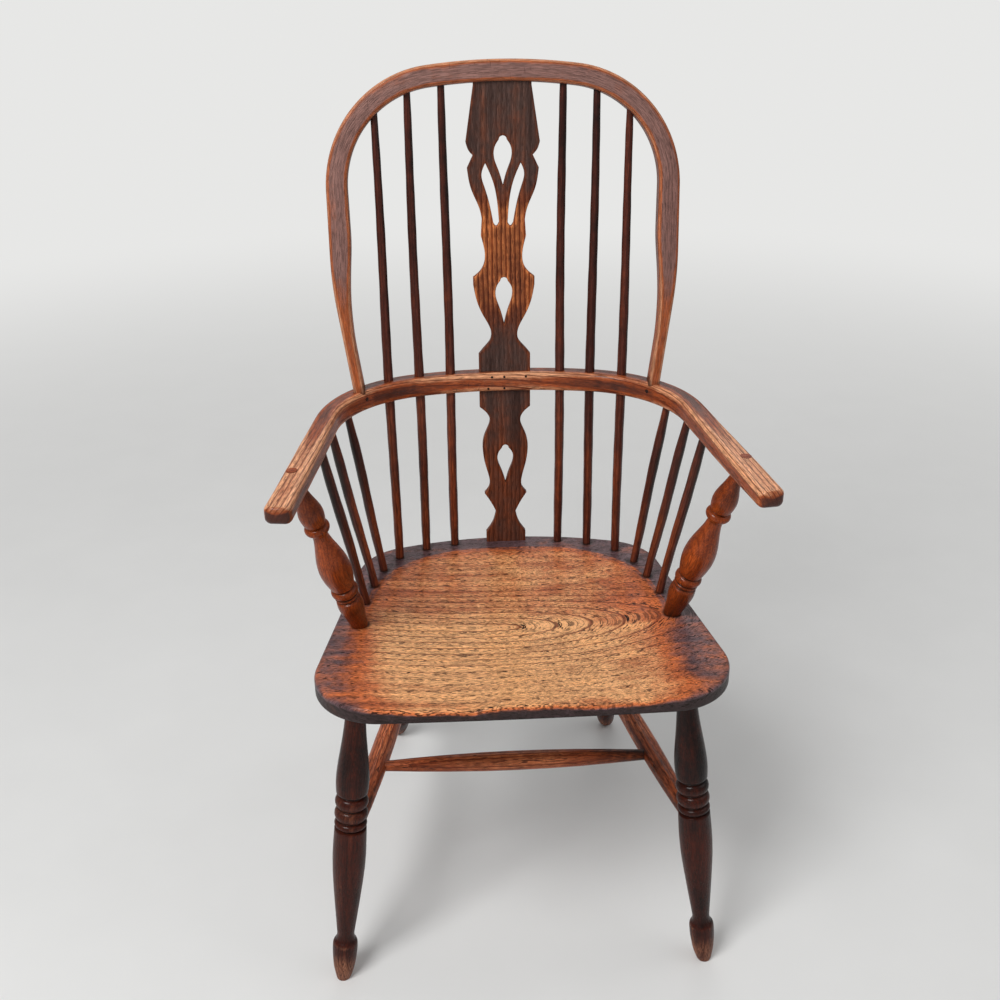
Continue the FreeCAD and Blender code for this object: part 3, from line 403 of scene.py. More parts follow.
class Turning:
    """A turning's outline, walked from its foot to its head as radius and height."""

    def __init__(self, radius, height):
        self.spots = [np.array([[radius, height]])]

    def last(self):
        return self.spots[-1][-1]

    def line(self, radius, height):
        """A straight run, with a spot close to each end so that its corners stay crisp."""
        start = self.last()
        end = np.array([radius, height])
        reach = max(np.linalg.norm(end - start), 1e-9)
        near = min(CRISP_STEP / reach, 0.3)
        shares = np.array([near, 1 - near, 1.0])
        middle = np.linspace(0.0, 1.0, max(2, int(reach / LINE_STEP)) + 1)[1:-1]
        at = np.sort(np.concatenate([shares, middle]))
        self.spots.append(start + (end - start) * at[:, None])
        return self

    def curve(self, *spots):
        """A natural spline from here through some spots, with points about a step apart."""
        run = np.array([self.last()] + list(spots))
        count = max(6, int(np.abs(np.diff(run[:, 1])).sum() / CURVE_STEP))
        self.spots.append(smooth(run, count)[1:])
        return self

    def bead(self, radius, height, proud, fullness=0.55):
        """A rounded ring: proud x sin(pi t)^fullness, added to the straight run to the next groove."""
        start = self.last()
        t = 0.5 - 0.5 * np.cos(np.linspace(0.0, math.pi, BEAD_SPOTS))[1:]
        wave = proud * np.maximum(np.sin(math.pi * t), 0.0) ** fullness
        base = start + (np.array([radius, height]) - start) * t[:, None]
        self.spots.append(base + np.stack([wave, np.zeros_like(wave)], axis=-1))
        return self

    def outline(self):
        spots = np.concatenate(self.spots)
        return spots[:, 0], spots[:, 1]


def across_of(axis):
    """Two unit vectors square to an axis and to each other."""
    first = unit(np.cross(axis, UP if abs(axis[2]) < 0.9 else BACKWARD))
    return first, np.cross(axis, first)


def spun(turning, start, end, tree, sides=56, worn=None, grime_and_shade=None, flats=0.0, sway=0.0, rubbed=None):
    """A turning's outline spun about the line from start towards end.

    A point is start + h x axis + r(cos a, sin a) across it. A shaved stick has r lessened by flats x
    sin(4a)^2 and by slow waves along it, and its middle swayed aside, so it is neither quite round nor
    quite straight. Wear grows with how far a point faces the rubbed side; on the sticks this also paints
    light on the side toward the chair's middle."""
    radius, height = turning.outline()
    axis = unit(end - start)
    one, two = across_of(axis)
    a = np.linspace(0.0, 2 * math.pi, sides, endpoint=False)
    wave = 2 + np.sin(61 * height + 40 * tree[2]) + np.sin(143 * height + 90 * tree[2])
    r = radius[:, None] * (1 - flats * np.sin(4 * a + 5 * height[:, None]) ** 2 - flats / 3 * wave[:, None])
    ring = one * np.cos(a)[:, None] + two * np.sin(a)[:, None]
    t = np.clip(height / np.linalg.norm(end - start), 0.0, 1.0)
    aside = sway * np.sin(math.pi * t) * np.sin(5.1 * t + 60 * tree[2])
    middle = start + axis * height[:, None] + (one + 0.6 * two) * aside[:, None]
    points = middle[:, None] + ring[None] * r[..., None]
    grain = np.stack([r * np.cos(a), r * np.sin(a), np.broadcast_to(height[:, None], r.shape)], axis=-1)
    flat = np.zeros_like(r)
    rub = flat if worn is None else flat + worn(height)[:, None]
    rub = rub if rubbed is None else rub + (ring @ np.array(rubbed))[None]
    dirt_and_shade = flat if grime_and_shade is None else flat + grime_and_shade(height, radius)[:, None]
    return closed_skin(points, grain + np.array(tree), rub, dirt_and_shade)


# Seat

SADDLE_SQUARENESS = 2.6
POMMEL_HALF_WIDTH = 0.062
POMMEL_START_Y = -0.040
RIM_SOFTNESS = 0.0009
SEAT_SPOTS = 241
POLE_SHARE = 0.008
BEVEL_CROWN = 0.0012
# Reach of the dirt and painted shade round the joints
JOINT_DIRT_AND_SHADE_REACH = 0.0035
# The figure's arches close to the right of its middle. The slope sets how long they are, the blend how
# softly they turn into the straight lines to the left
FIGURE_MIDDLE = (-0.020, -0.010)
FIGURE_SLOPE = 0.303
FIGURE_BLEND = 0.03
# Patches by use, the first two also a painted sheen on the middle and front of the hollow: X and Y of the
# middle, half width, half depth, wear added
SEAT_RUBS = ((-0.02, -0.055, 0.12, 0.070, 0.44), (0.03, -0.150, 0.14, 0.040, 0.20),
             (-0.11, -0.08, 0.06, 0.06, 0.14), (0.19, -0.085, 0.030, 0.060, -0.24),
             (0.16, 0.03, 0.05, 0.06, -0.12), (-0.205, -0.090, 0.035, 0.080, -0.14),
             (0.02, 0.115, 0.13, 0.06, 0.13))
# Hollows worn into the front edge: X of the middle, depth, half width
FRONT_HOLLOWS = ((-0.062, 0.0026, 0.013), (-0.118, 0.0010, 0.020), (0.006, 0.0012, 0.011),
                 (0.071, 0.0015, 0.022), (0.139, 0.0009, 0.010))


def seat_top_z(y):
    seat = chair().seat
    return seat.height - math.tan(seat.fall) * y


def on_seat(x, y):
    return np.array([x, y, seat_top_z(y)])


def under_seat(x, y):
    seat = chair().seat
    return np.array([x, y, seat_top_z(y) - seat.thickness / math.cos(seat.fall)])


def seat_edge(seat):
    """Points round the seat and the unit vectors out of them.

    The front and the back are long arcs and the sides straight. A corner's centre lies its own radius
    inside the side and inside the long arc, where a quadratic puts it."""
    along = np.array([-math.sin(seat.side_angle), math.cos(seat.side_angle)])
    inward = np.array([-along[1], along[0]])
    side = np.array([seat.half_width, seat.front + seat.bulge])
    front_radius = (seat.half_width ** 2 + seat.bulge ** 2) / (2 * seat.bulge)
    arcs = ((np.array([0.0, seat.front + front_radius]), front_radius, seat.front_corner, -1.0),
            (np.array([0.0, seat.back - seat.back_radius]), seat.back_radius, seat.back_corner, 1.0))
    runs = []
    for middle, radius, corner, end in arcs:
        base = side + inward * corner - middle
        b = base @ along
        reach = -b + end * math.sqrt(b * b - base @ base + (radius - corner) ** 2)
        centre = side + inward * corner + along * reach
        touch = middle + (centre - middle) * radius / (radius - corner)
        flat = centre - inward * corner
        turn = [math.atan2(*(point - centre)[::-1]) for point in (touch, flat)]
        long_end = math.atan2(*(touch - middle)[::-1])
        long_turn = np.linspace(end * math.pi / 2, long_end, 60)
        short_turn = np.linspace(turn[0], turn[1], 60)
        run = np.concatenate([
            middle + radius * np.stack([np.cos(long_turn), np.sin(long_turn)], axis=-1),
            centre + corner * np.stack([np.cos(short_turn), np.sin(short_turn)], axis=-1)])
        runs.append(run)
    half = evenly(np.concatenate([runs[0], runs[1][::-1]]), SEAT_SPOTS)
    whole = np.concatenate([half, half[-2:0:-1] * MIRROR[:2]])
    tangent = unit(np.roll(whole, -1, axis=0) - np.roll(whole, 1, axis=0))
    return whole, np.stack([tangent[:, 1], -tangent[:, 0]], axis=-1)


def seat_walk(seat):
    """The way from the middle of the top over the edge to the middle of the underside, step by step.

    Gives for each step its inset from the edge, its share of the way out from the middle, its drop round
    the worn edge, and its shares of the way down the side and along the bevel. The worn edge is a quarter
    turn t: inset r(1 - sin t), drop r(1 - cos t)."""
    r = seat.edge_round
    out = np.linspace(POLE_SHARE, 1.0, 96)
    turn = np.linspace(0.0, math.pi / 2, 9)[1:]
    down = np.linspace(0.0, 1.0, 6)[1:]
    bevel = np.linspace(0.0, 1.0, 16)[1:]
    back = np.linspace(1.0, POLE_SHARE, 18)[1:]
    parts = ((r, out, 0.0, 0.0, 0.0),
             (r * (1 - np.sin(turn)), 1.0, r * (1 - np.cos(turn)), 0.0, 0.0),
             (0.0, 1.0, r, down, 0.0),
             (seat.bevel_width * bevel, 1.0, r, 1.0, bevel),
             (seat.bevel_width, back, r, 1.0, 1.0))
    return np.concatenate([np.stack(np.broadcast_arrays(*part)) for part in parts], axis=1)[..., None]


def saddle_reach(seat, x, y):
    """How far out of the hollow a point lies: 0 at its middle, 1 on its rim, a squarish oval."""
    reach = np.where(y > seat.saddle_middle, seat.saddle_back, seat.saddle_front)
    across = (np.abs(x) / seat.saddle_half_width) ** SADDLE_SQUARENESS
    along = (np.abs(y - seat.saddle_middle) / reach) ** SADDLE_SQUARENESS
    return (across + along) ** (1 / SADDLE_SQUARENESS)


def saddle_drop(seat, x, y):
    """Depth below the rim: depth x (1 - reach^2) less the pommel, turned softly into the flat rim, with
    the front edge's hollows and small waves added."""
    bowl = seat.saddle_depth * (1 - saddle_reach(seat, x, y) ** 2)
    forward = np.maximum(0.0, (POMMEL_START_Y - y) / (POMMEL_START_Y - seat.front))
    pommel = seat.pommel_height * bell(x, 0.0, POMMEL_HALF_WIDTH) * forward ** 2
    drop = bowl - pommel
    soft = (drop + np.sqrt(drop ** 2 + RIM_SOFTNESS ** 2)) / 2
    hollows = sum(deep * bell(x, at, wide) for at, deep, wide in FRONT_HOLLOWS)
    waves = 0.00025 * (2 + np.sin(310 * x) + np.sin(523 * x + 1))
    return soft + (hollows + waves) * ease(0.016, 0.0, y - seat.front)


def seat_joints():
    """Where sticks and supports stand on the seat, with their radii."""
    spots = [(*long_stick_line(index)[0][:2], STICK_SEAT_RADIUS) for index in range(len(LONG_STICK_ARM_X))]
    spots += [(x, y, STICK_SEAT_RADIUS * SHORT_STICK_FOOT) for x, y in SHORT_STICK_SEAT]
    spots.append((*SUPPORT_SEAT, chair().turned.vase * SUPPORT_FOOT))
    return [(sign * x, y, radius) for x, y, radius in spots for sign in (1, -1)]


def seat_grain(x, y, below):
    """A point's place in the tree, from its place on the board and how far below the top it lies.

    The third number runs across the seat, along the grain. The first two are (y, slope x right), where
    right is how far a point lies to the right of the figure's middle, turned softly into 0 to its left. So
    spots as far from the pith lie on half an ellipse that runs on into two straight lines."""
    middle_x, middle_y = FIGURE_MIDDLE
    right = (x - middle_x + np.sqrt((x - middle_x) ** 2 + FIGURE_BLEND ** 2)) / 2
    return np.stack([y - middle_y + 0.9 * below, FIGURE_SLOPE * right + 0.25 * below, x + 0.15 * y], axis=-1)


def seat_finish(seat, x, y, on_top, turned, down):
    """Wear and dirt of the seat, with painted sheen, highlight and shade.

    The hollow is worn, with a crisp edge behind and a soft one in front, and bells of wear are added where
    it is used. Bells along its rear edge paint a highlight line on the ridge with a shaded line behind it.
    The side and the underside are darkened, and dirt with painted shade lies round each joint as e to the
    minus distance. Legs have rubbed the middle of the front edge, which is also lightened as a painted pool
    of light that fades towards the bottom of its face."""
    reach = saddle_reach(seat, x, y)
    front = ease(0.03, -0.05, y)
    behind = ease(-0.06, 0.0, y)
    # The middle of the front edge is lighter, rubbed by legs and painted as lit, fading towards the bottom of
    # its face
    rubbed_and_lit_front_edge = ease(-0.10, -0.18, y) * ease(0.225, 0.13, np.abs(x)) * (1 - down)
    hollow = ease(1.01, 0.94, reach) * (1 - front) + ease(1.20, 0.80, reach) * front
    worn = 0.08 + 0.16 * front + (0.41 - 0.05 * front) * hollow + 0.04 * ease(0.95, 0.7, reach)
    for at_x, at_y, wide, deep, more in SEAT_RUBS:
        worn = worn + more * bell(x, at_x, wide) * bell(y, at_y, deep)
    worn = worn * (1 - turned) + (0.04 + 0.20 * rubbed_and_lit_front_edge) * turned
    # A lighter line on the hollow's rear rim and a darker line just behind it paint the ridge's highlight and
    # shade; the rounded edge is darker too
    worn = worn + 0.22 * behind * bell(reach, 0.995, 0.010)
    dirt_and_shade = 0.45 * turned + 0.45 * behind * bell(reach, 1.03, 0.016)
    # Dirt and painted shade round each joint, fading as e to the minus distance
    for at_x, at_y, radius in seat_joints():
        distance = np.hypot(x - at_x, y - at_y) - radius
        dirt_and_shade = dirt_and_shade + 0.9 * np.exp(-np.maximum(distance, 0.0) / JOINT_DIRT_AND_SHADE_REACH)
    return np.where(on_top, worn, 0.01 + 0.12 * rubbed_and_lit_front_edge), np.where(on_top, dirt_and_shade, 0.93 - 0.12 * rubbed_and_lit_front_edge)


def make_seat():
    """The seat as a function of the turn round its edge and of the walk over it.

    The plan is edge - out x inset, shrunk towards the middle. The height is the saddle's on top, runs
    straight down the side, and along the bevel falls evenly with half a sine wave added."""
    seat = chair().seat
    edge, out = seat_edge(seat)
    inset, outward, drop, down, bevel = seat_walk(seat)
    middle = np.array([0.0, (seat.front + seat.back) / 2])
    plan = edge[None] - out[None] * inset[..., None]
    plan = middle + (plan - middle) * outward[..., None]
    x, y = plan[..., 0], plan[..., 1]
    on_top = down == 0.0
    top = -saddle_drop(seat, x, y) - drop
    rim = -saddle_drop(seat, edge[:, 0], edge[:, 1])[None] - seat.edge_round
    side = rim * (1 - down) - (seat.thickness - seat.bevel_height) * down
    under = seat.bevel_height * bevel + BEVEL_CROWN * np.sin(math.pi * bevel)
    z = np.where(on_top, top, side - under)
    cos_fall, sin_fall = math.cos(seat.fall), math.sin(seat.fall)
    rings = np.stack([x, y * cos_fall + z * sin_fall, seat.height - y * sin_fall + z * cos_fall], axis=-1)
    grain = seat_grain(x, y, np.where(on_top, 0.0, -z))
    worn, grime_and_shade = seat_finish(seat, x, y, on_top, on_top * drop / seat.edge_round, down)
    add_piece("saddled_seat", [closed_skin(rings, grain, worn, grime_and_shade)], "seat_wood", "seat")


# Arm bow

ARM_STATIONS = 420
ARM_END_CROWDING = 1.25
ARM_END_FULLNESS = 0.93
ARM_TOP_EDGE = 0.0035
ARM_UNDER_EDGE = 0.0060


def heading(turn):
    """Unit vectors that lean by a turn from +Y towards +X."""
    turn = np.asarray(turn, dtype=float)
    return np.stack([np.sin(turn), np.cos(turn), np.zeros_like(turn)], axis=-1)


class ArmLine:
    """The arm bow's centre line: an arc across the back, an arc round each corner, straight sides."""

    def __init__(self, arm):
        self.arm = arm
        self.start_turn = arm.back_half_angle
        self.end_turn = math.pi / 2 - arm.splay
        self.back_centre = np.array([0.0, arm.back - arm.back_radius, 0.0])
        turn_point = self.back_centre + heading(self.start_turn) * arm.back_radius
        self.turn_x = turn_point[0]
        self.corner_centre = turn_point - heading(self.start_turn) * arm.corner_radius
        self.side_start = self.corner_centre + heading(self.end_turn) * arm.corner_radius
        self.side_along = np.array([math.cos(self.end_turn), -math.sin(self.end_turn), 0.0])
        self.back_length = arm.back_radius * self.start_turn
        self.corner_length = arm.corner_radius * (self.end_turn - self.start_turn)
        self.side_length = (self.side_start[1] - arm.front) / -self.side_along[1]

    def at(self, run):
        """Points of the line and the way out of it at distances from the middle of the back."""
        far = np.abs(run)
        past_back = far - self.back_length
        past_corner = past_back - self.corner_length
        on_corner = np.clip(past_back / self.arm.corner_radius, 0.0, self.end_turn - self.start_turn)
        turn = np.where(past_back < 0, far / self.arm.back_radius, self.start_turn + on_corner)
        out = heading(turn)
        centre = np.where((past_back < 0)[:, None], self.back_centre, self.corner_centre)
        radius = np.where(past_back < 0, self.arm.back_radius, self.arm.corner_radius)
        points = centre + out * radius[:, None] + self.side_along * np.maximum(past_corner, 0.0)[:, None]
        flip = np.where(run < 0, -1.0, 1.0)[:, None] * ACROSS + BACKWARD + UP
        return points * flip, out * flip

    def back_y(self, x):
        """Y of the line at a given X on the back or on a corner."""
        x = abs(x)
        if x < self.turn_x:
            return self.back_centre[1] + math.sqrt(self.arm.back_radius ** 2 - x ** 2)
        aside = x - self.corner_centre[0]
        return self.corner_centre[1] + math.sqrt(self.arm.corner_radius ** 2 - aside ** 2)

    def side_x(self, y):
        """X of the line at a given Y on a corner or on a straight side."""
        if y > self.side_start[1]:
            aside = y - self.corner_centre[1]
            return self.corner_centre[0] + math.sqrt(self.arm.corner_radius ** 2 - aside ** 2)
        return self.side_start[0] + (self.side_start[1] - y) * self.side_along[0] / -self.side_along[1]

    def under_z(self, y):
        """Height of the underside, which rises in one long arc along the straight sides."""
        taper = self.arm.thickness - self.arm.end_thickness
        reach = self.side_start[1] - self.arm.front
        radius = (reach ** 2 + taper ** 2) / (2 * taper)
        forward = np.maximum(0.0, self.side_start[1] - np.asarray(y))
        return self.arm.height - self.arm.thickness + radius - np.sqrt(radius ** 2 - forward ** 2)


def end_drawn_in(left, radius):
    """How far a round end of a given radius has drawn in where so much length is left."""
    t = np.clip(radius - left, 0.0, radius)
    return radius - np.sqrt(np.maximum(radius ** 2 - t ** 2, 0.0))


def arm_finish(run, forward, left, outer, high, edges):
    """Wear, painted sheen and darkening of the arm bow from places along it, across it (-1 inside, 1 outside)
    and up (-1 to 1).

    Edges are worn, evened out at the ends. Hands rub the top of the arms, whose wear also paints in their
    sheen, and backs the inside, by bells round the middle and the bends. The underside and the outer half of
    the rear's top are darker."""
    upward = ease(0.2, 0.9, high)
    inner = ease(-0.2, -0.9, outer)
    rubbed = ease(0.0, 0.55, forward)
    near_end = ease(0.014, 0.005, left)
    worn = (0.15 + 0.36 * edges) * (1 - near_end) + 0.26 * near_end - 0.30 * ease(0.0045, 0.0015, left)
    # Lighter tops: rubbed by hands, and a painted sheen
    worn = worn + upward * (0.52 * rubbed + 0.05)
    worn = worn + inner * (0.12 + 0.28 * bell(run, 0.0, 0.07) - 0.14 * bell(np.abs(run), 0.16, 0.05))
    dirt_and_shade = 0.30 * ease(-0.2, -0.8, high) + 0.25 * upward * (1 - rubbed) * ease(0.0, 0.5, outer)
    return worn, dirt_and_shade


def make_arm_bow():
    """The arm bow's round-cornered section carried along its centre line from end to end, drawn in at
    its ends by quarter rounds in plan and in height. Slow sines make it a little uneven, as by hand."""
    arm = chair().arm
    line = ArmLine(arm)
    whole = line.back_length + line.corner_length + line.side_length
    t = np.linspace(-1.0, 1.0, ARM_STATIONS)
    run = whole * np.sign(t) * (1 - (1 - np.abs(t)) ** ARM_END_CROWDING)
    points, out = line.at(run)
    left = whole - np.abs(run)
    forward = np.clip((np.abs(run) - line.back_length - line.corner_length) / line.side_length, 0.0, 1.0)
    drawn_in = 2 * ARM_END_FULLNESS * end_drawn_in(left, arm.end_round)
    width = arm.width + (arm.end_width - arm.width) * forward - drawn_in
    hand = 0.0003 * np.sin(31 * run) + 0.0002 * np.sin(83 * run + 1.0)
    top = arm.height - end_drawn_in(left, ARM_TOP_EDGE) - 0.0003 * (1 + np.sin(24 * run + 0.7)) * forward
    low = line.under_z(points[:, 1]) + end_drawn_in(left, ARM_UNDER_EDGE)
    middle = points.copy()
    middle[:, 2] = (top + low) / 2
    height = np.maximum(top - low, 0.004)
    corner = np.minimum(arm.edge_round, 0.46 * np.minimum(width, height))
    across, up, edges = section(width + hand - 0.0005, height, corner)
    rings = carried(middle, out, np.broadcast_to(UP, out.shape), across, up)
    run, forward, left, width, height = (v[:, None] for v in (run, forward, left, width, height))
    along = np.broadcast_to(run, across.shape)
    slant = 0.02 * np.sin(2.2 * along)
    grain = np.stack([0.060 + across + 0.35 * up + slant, 0.012 + up, along], axis=-1)
    worn, grime_and_shade = arm_finish(run, forward, left, across / width * 2, up / height * 2, edges)
    add_piece("bent_arm_bow", [closed_skin(rings, grain, worn, grime_and_shade)], "arm_wood", "arm_bow")


# Top bow

NARROW_SHARE = 0.13
BEND_SHARE = 0.26
UPRIGHT_SHARE = 0.43
FULL_SHARE = 0.49
BOW_STEP = 0.003


class Hoop:
    """The top bow drawn flat: X across, then height up the hoop, then forward out of its plane."""

    def __init__(self, back, arm):
        self.back = back
        self.rise = (back.top - arm.height - back.thickness / 2 * math.sin(back.lean)) / math.cos(back.lean)
        self.shoulder_x = back.half_width - back.shoulder_radius
        gap = back.crown_radius - back.shoulder_radius
        self.crown_angle = math.asin(self.shoulder_x / gap)
        self.crown_centre = self.rise - back.crown_radius
        self.shoulder_height = self.crown_centre + gap * math.cos(self.crown_angle)
        self.upright = self.rise * UPRIGHT_SHARE
        self.bend = self.rise * BEND_SHARE
        self.bend_radius = (self.upright - self.bend) / math.sin(back.foot_slope)
        self.bend_x = back.half_width - self.bend_radius * (1 - math.cos(back.foot_slope))
        self.foot_outer_x = self.bend_x - self.bend * math.tan(back.foot_slope)
        self.foot_x = self.foot_outer_x - back.foot_width / 2
        self.foot = np.array([0.0, ArmLine(arm).back_y(self.foot_x), arm.height])
        self.side = ACROSS
        self.upward = np.array([0.0, math.sin(back.lean), math.cos(back.lean)])
        self.forward = np.array([0.0, -math.cos(back.lean), math.sin(back.lean)])

    def stand(self, x, rise):
        """Points of the leaned hoop from places across and up it."""
        return self.foot + self.side * np.asarray(x)[..., None] + self.upward * np.asarray(rise)[..., None]

    def inner_rise(self, x):
        """How far up the hoop its inner edge lies, on the crown or on a shoulder."""
        crown = self.back.crown_radius - self.back.crown_width
        if abs(x) < crown * math.sin(self.crown_angle):
            return self.crown_centre + math.sqrt(crown ** 2 - x ** 2)
        shoulder = self.back.shoulder_radius - self.back.crown_width
        return self.shoulder_height + math.sqrt(shoulder ** 2 - (abs(x) - self.shoulder_x) ** 2)

    def width(self, rise):
        """Width of the face: narrow at the foot, full at the sides, a little less at the crown."""
        full = self.rise * FULL_SHARE
        side = self.back.foot_width + (self.back.side_width - self.back.foot_width) * ease(
            self.rise * NARROW_SHARE, full, rise)
        upper = np.clip((rise - full) / (self.rise - self.back.shoulder_radius / 2 - full), 0.0, 1.0)
        return side + (self.back.crown_width - self.back.side_width) * upper

    def outer_edge(self):
        """X, rise and heading of the outer edge from below the left foot up to the crown's middle.

        A straight foot leans out, an arc turns it upright, and after a straight rise a tight arc and
        a flat arc bend it over to level."""
        slope = self.back.foot_slope
        foot = np.arange(-0.006, self.bend, BOW_STEP)
        turn = np.linspace(slope, 0.0, int((self.upright - self.bend) / BOW_STEP))
        straight = np.arange(self.upright, self.shoulder_height, BOW_STEP)[1:]
        crown_start = self.crown_angle - math.pi / 2
        shoulder = np.linspace(0.0, crown_start, int(-crown_start * self.back.shoulder_radius / BOW_STEP))
        crown = np.linspace(crown_start, -math.pi / 2, 24)[1:]
        x = np.concatenate([self.foot_outer_x + foot * math.tan(slope),
                            self.back.half_width - self.bend_radius * (1 - np.cos(turn)),
                            np.full(len(straight), self.back.half_width),
                            self.shoulder_x + self.back.shoulder_radius * np.cos(shoulder),
                            self.back.crown_radius * np.cos(crown)])
        rise = np.concatenate([foot, self.upright - self.bend_radius * np.sin(turn), straight,
                               self.shoulder_height - self.back.shoulder_radius * np.sin(shoulder),
                               self.crown_centre - self.back.crown_radius * np.sin(crown)])
        turned = np.concatenate([np.full(len(foot), slope), turn, np.zeros(len(straight)), shoulder, crown])
        return x, rise, turned


def hoop():
    return Hoop(chair().back, chair().arm)


def make_top_bow():
    """The top bow's round-edged section carried up one side of the hoop and down the other."""
    back = chair().back
    bow = hoop()
    x, rise, turned = bow.outer_edge()
    x = np.concatenate([x, -x[-2::-1]])
    flip = np.concatenate([np.ones(len(rise)), -np.ones(len(rise) - 1)])
    rise = np.concatenate([rise, rise[-2::-1]])
    turned = np.concatenate([turned, turned[-2::-1]])
    run = np.concatenate([[0.0], np.cumsum(np.hypot(np.diff(x), np.diff(rise)))])
    width = bow.width(rise)
    inward = np.stack([-np.cos(turned) * flip, np.sin(turned)], axis=-1)
    middle = np.stack([x, rise], axis=-1) + inward * (width / 2)[:, None]
    hand = 0.0003 * np.sin(19 * run) + 0.0002 * np.sin(57 * run + 2.0)
    thickness = back.thickness - 0.0006 + hand
    corner = np.minimum(back.edge_round, 0.42 * width)
    across, up, worn = section(width - 0.0004, thickness, corner)
    side = -(inward[:, :1] * bow.side + inward[:, 1:] * bow.upward)
    rings = carried(bow.stand(*middle.T), side, np.broadcast_to(bow.forward, side.shape), across, up)
    along = np.broadcast_to(run[:, None], across.shape)
    grain = np.stack([0.075 + across + 0.004 * np.sin(3 * along), 0.012 + up, along], axis=-1)
    low = ease(0.44, 0.20, rise / bow.rise)[:, None]
    outer = ease(0.0, 0.9, across / width[:, None] * 2)
    crown = ease(0.62, 0.95, rise / bow.rise)[:, None]
    # The crown-and-outer term lightens the top of the crown's outer edge as a painted highlight
    worn = 0.06 + 0.60 * worn ** 4 + 0.36 * low + 0.20 * crown * outer ** 2
    # Darker on the back face and at the feet, and a painted shadow along the inner edge
    grime_and_shade = 0.25 * ease(0.0, -0.9, up / thickness[:, None] * 2) + 0.5 * ease(0.012, 0.0, rise)[:, None]
    grime_and_shade = grime_and_shade + 0.3 * ease(-0.3, -0.9, across / width[:, None] * 2)
    add_piece("bent_top_bow", [closed_skin(rings, grain, worn, grime_and_shade)], "bow_wood", "top_bow")


# Sticks

LONG_STICK_ARM_X = (0.0715, 0.111, 0.1485)
LONG_STICK_BOW_X = (0.0718, 0.1117, 0.151)
SHORT_STICK_ARM_Y = (0.133, 0.089, 0.034)
SHORT_STICK_SEAT = ((0.167, 0.128), (0.177, 0.086), (0.186, 0.043))
STICK_SEAT_RADIUS = 0.0056
STICK_TOP_RADIUS = 0.0044
SHORT_STICK_FOOT = 0.95
SHORT_STICK_BELLY = 0.0061
STICK_BEDDED = 0.006


def long_stick_line(index):
    """Where a long stick enters the seat, crosses the arm bow and enters the top bow."""
    arm, seat = chair().arm, chair().seat
    x = LONG_STICK_ARM_X[index]
    at_arm = np.array([x, ArmLine(arm).back_y(x), arm.height - arm.thickness / 2])
    bow = hoop()
    bow_x = LONG_STICK_BOW_X[index]
    at_bow = bow.stand(bow_x, bow.inner_rise(bow_x))
    along = at_arm - at_bow
    slope = math.tan(seat.fall)
    steps = (seat_top_z(0.0) - slope * at_arm[1] - at_arm[2]) / (along[2] + slope * along[1])
    return at_arm + along * steps, at_arm, at_bow


def short_stick_line(index):
    line = ArmLine(chair().arm)
    y = SHORT_STICK_ARM_Y[index]
    at_seat = on_seat(*SHORT_STICK_SEAT[index])
    return at_seat, np.array([line.side_x(y), y, float(line.under_z(y))])


def stick_wear(whole, high):
    """Rubbed in the lower half, where backs lean, and dark towards the top."""
    return lambda height: 0.20 + high * ease(whole * 0.75, whole * 0.15, height)


def stick_grime(whole):
    """Dirt at both ends, as e to the minus distance."""
    def grime_and_shade(height, radius):
        return 0.8 * np.exp(-np.abs(height) / 0.004) + 0.6 * np.exp(-np.abs(whole - height) / 0.006)

    return grime_and_shade


def make_long_sticks():
    """Shaved sticks, swelled at the arm bow and thinned at the top: radius through five spots by length."""
    full = chair().turned.stick
    for index, place in enumerate(("inner", "middle", "outer")):
        low, arm, high = long_stick_line(index)
        whole = np.linalg.norm(high - low)
        at_arm = np.linalg.norm(arm - low)
        stick = Turning(STICK_SEAT_RADIUS * 0.97, -STICK_BEDDED)
        stick.curve((STICK_SEAT_RADIUS, 0.004), (full * 0.97, at_arm * 0.55), (full, at_arm),
                    (full * 0.90, at_arm + (whole - at_arm) * 0.45), (STICK_TOP_RADIUS, whole - 0.004),
                    (STICK_TOP_RADIUS * 0.97, whole + STICK_BEDDED))
        for number, (side, sign) in enumerate(SIDES):
            tree = (0.041 + 0.009 * index, 0.030, 0.173 * (2 * index + number + 1))
            worn = stick_wear(whole, 0.20 + 0.12 * number)
            # The side facing forward and toward the chair's middle is lighter: rubbed by backs, and painted
            # light
            skin = spun(stick, low, high, tree, 32, worn, stick_grime(whole), flats=0.05,
                        sway=0.0012 * sign, rubbed=(-0.10 * sign, -0.16, 0.0))
            add_sided("shaved", "long_stick_" + side + "_" + place, skin, sign, "stick_wood")


def make_short_sticks():
    """Shaved sticks under the arms, fullest a little below the middle: radius through four spots."""
    for index, place in enumerate(("rear", "middle", "front")):
        low, high = short_stick_line(index)
        whole = np.linalg.norm(high - low)
        stick = Turning(STICK_SEAT_RADIUS * 0.93, -STICK_BEDDED)
        stick.curve((STICK_SEAT_RADIUS * SHORT_STICK_FOOT, 0.004), (SHORT_STICK_BELLY, whole * 0.45),
                    (STICK_TOP_RADIUS * 1.1, whole - 0.004), (STICK_TOP_RADIUS, whole + STICK_BEDDED))
        for number, (side, sign) in enumerate(SIDES):
            tree = (0.038 + 0.008 * index, 0.034, 1.3 + 0.141 * (2 * index + number + 1))
            # The side facing the chair's middle is lighter: rubbing and painted light
            skin = spun(stick, low, high, tree, 32, stick_wear(whole, 0.28), stick_grime(whole),
                        flats=0.05, sway=0.0008 * sign, rubbed=(-0.30, -0.06, 0.0))
            add_sided("shaved", "short_stick_" + side + "_" + place, skin, sign, "stick_wood")


# Turned arm supports

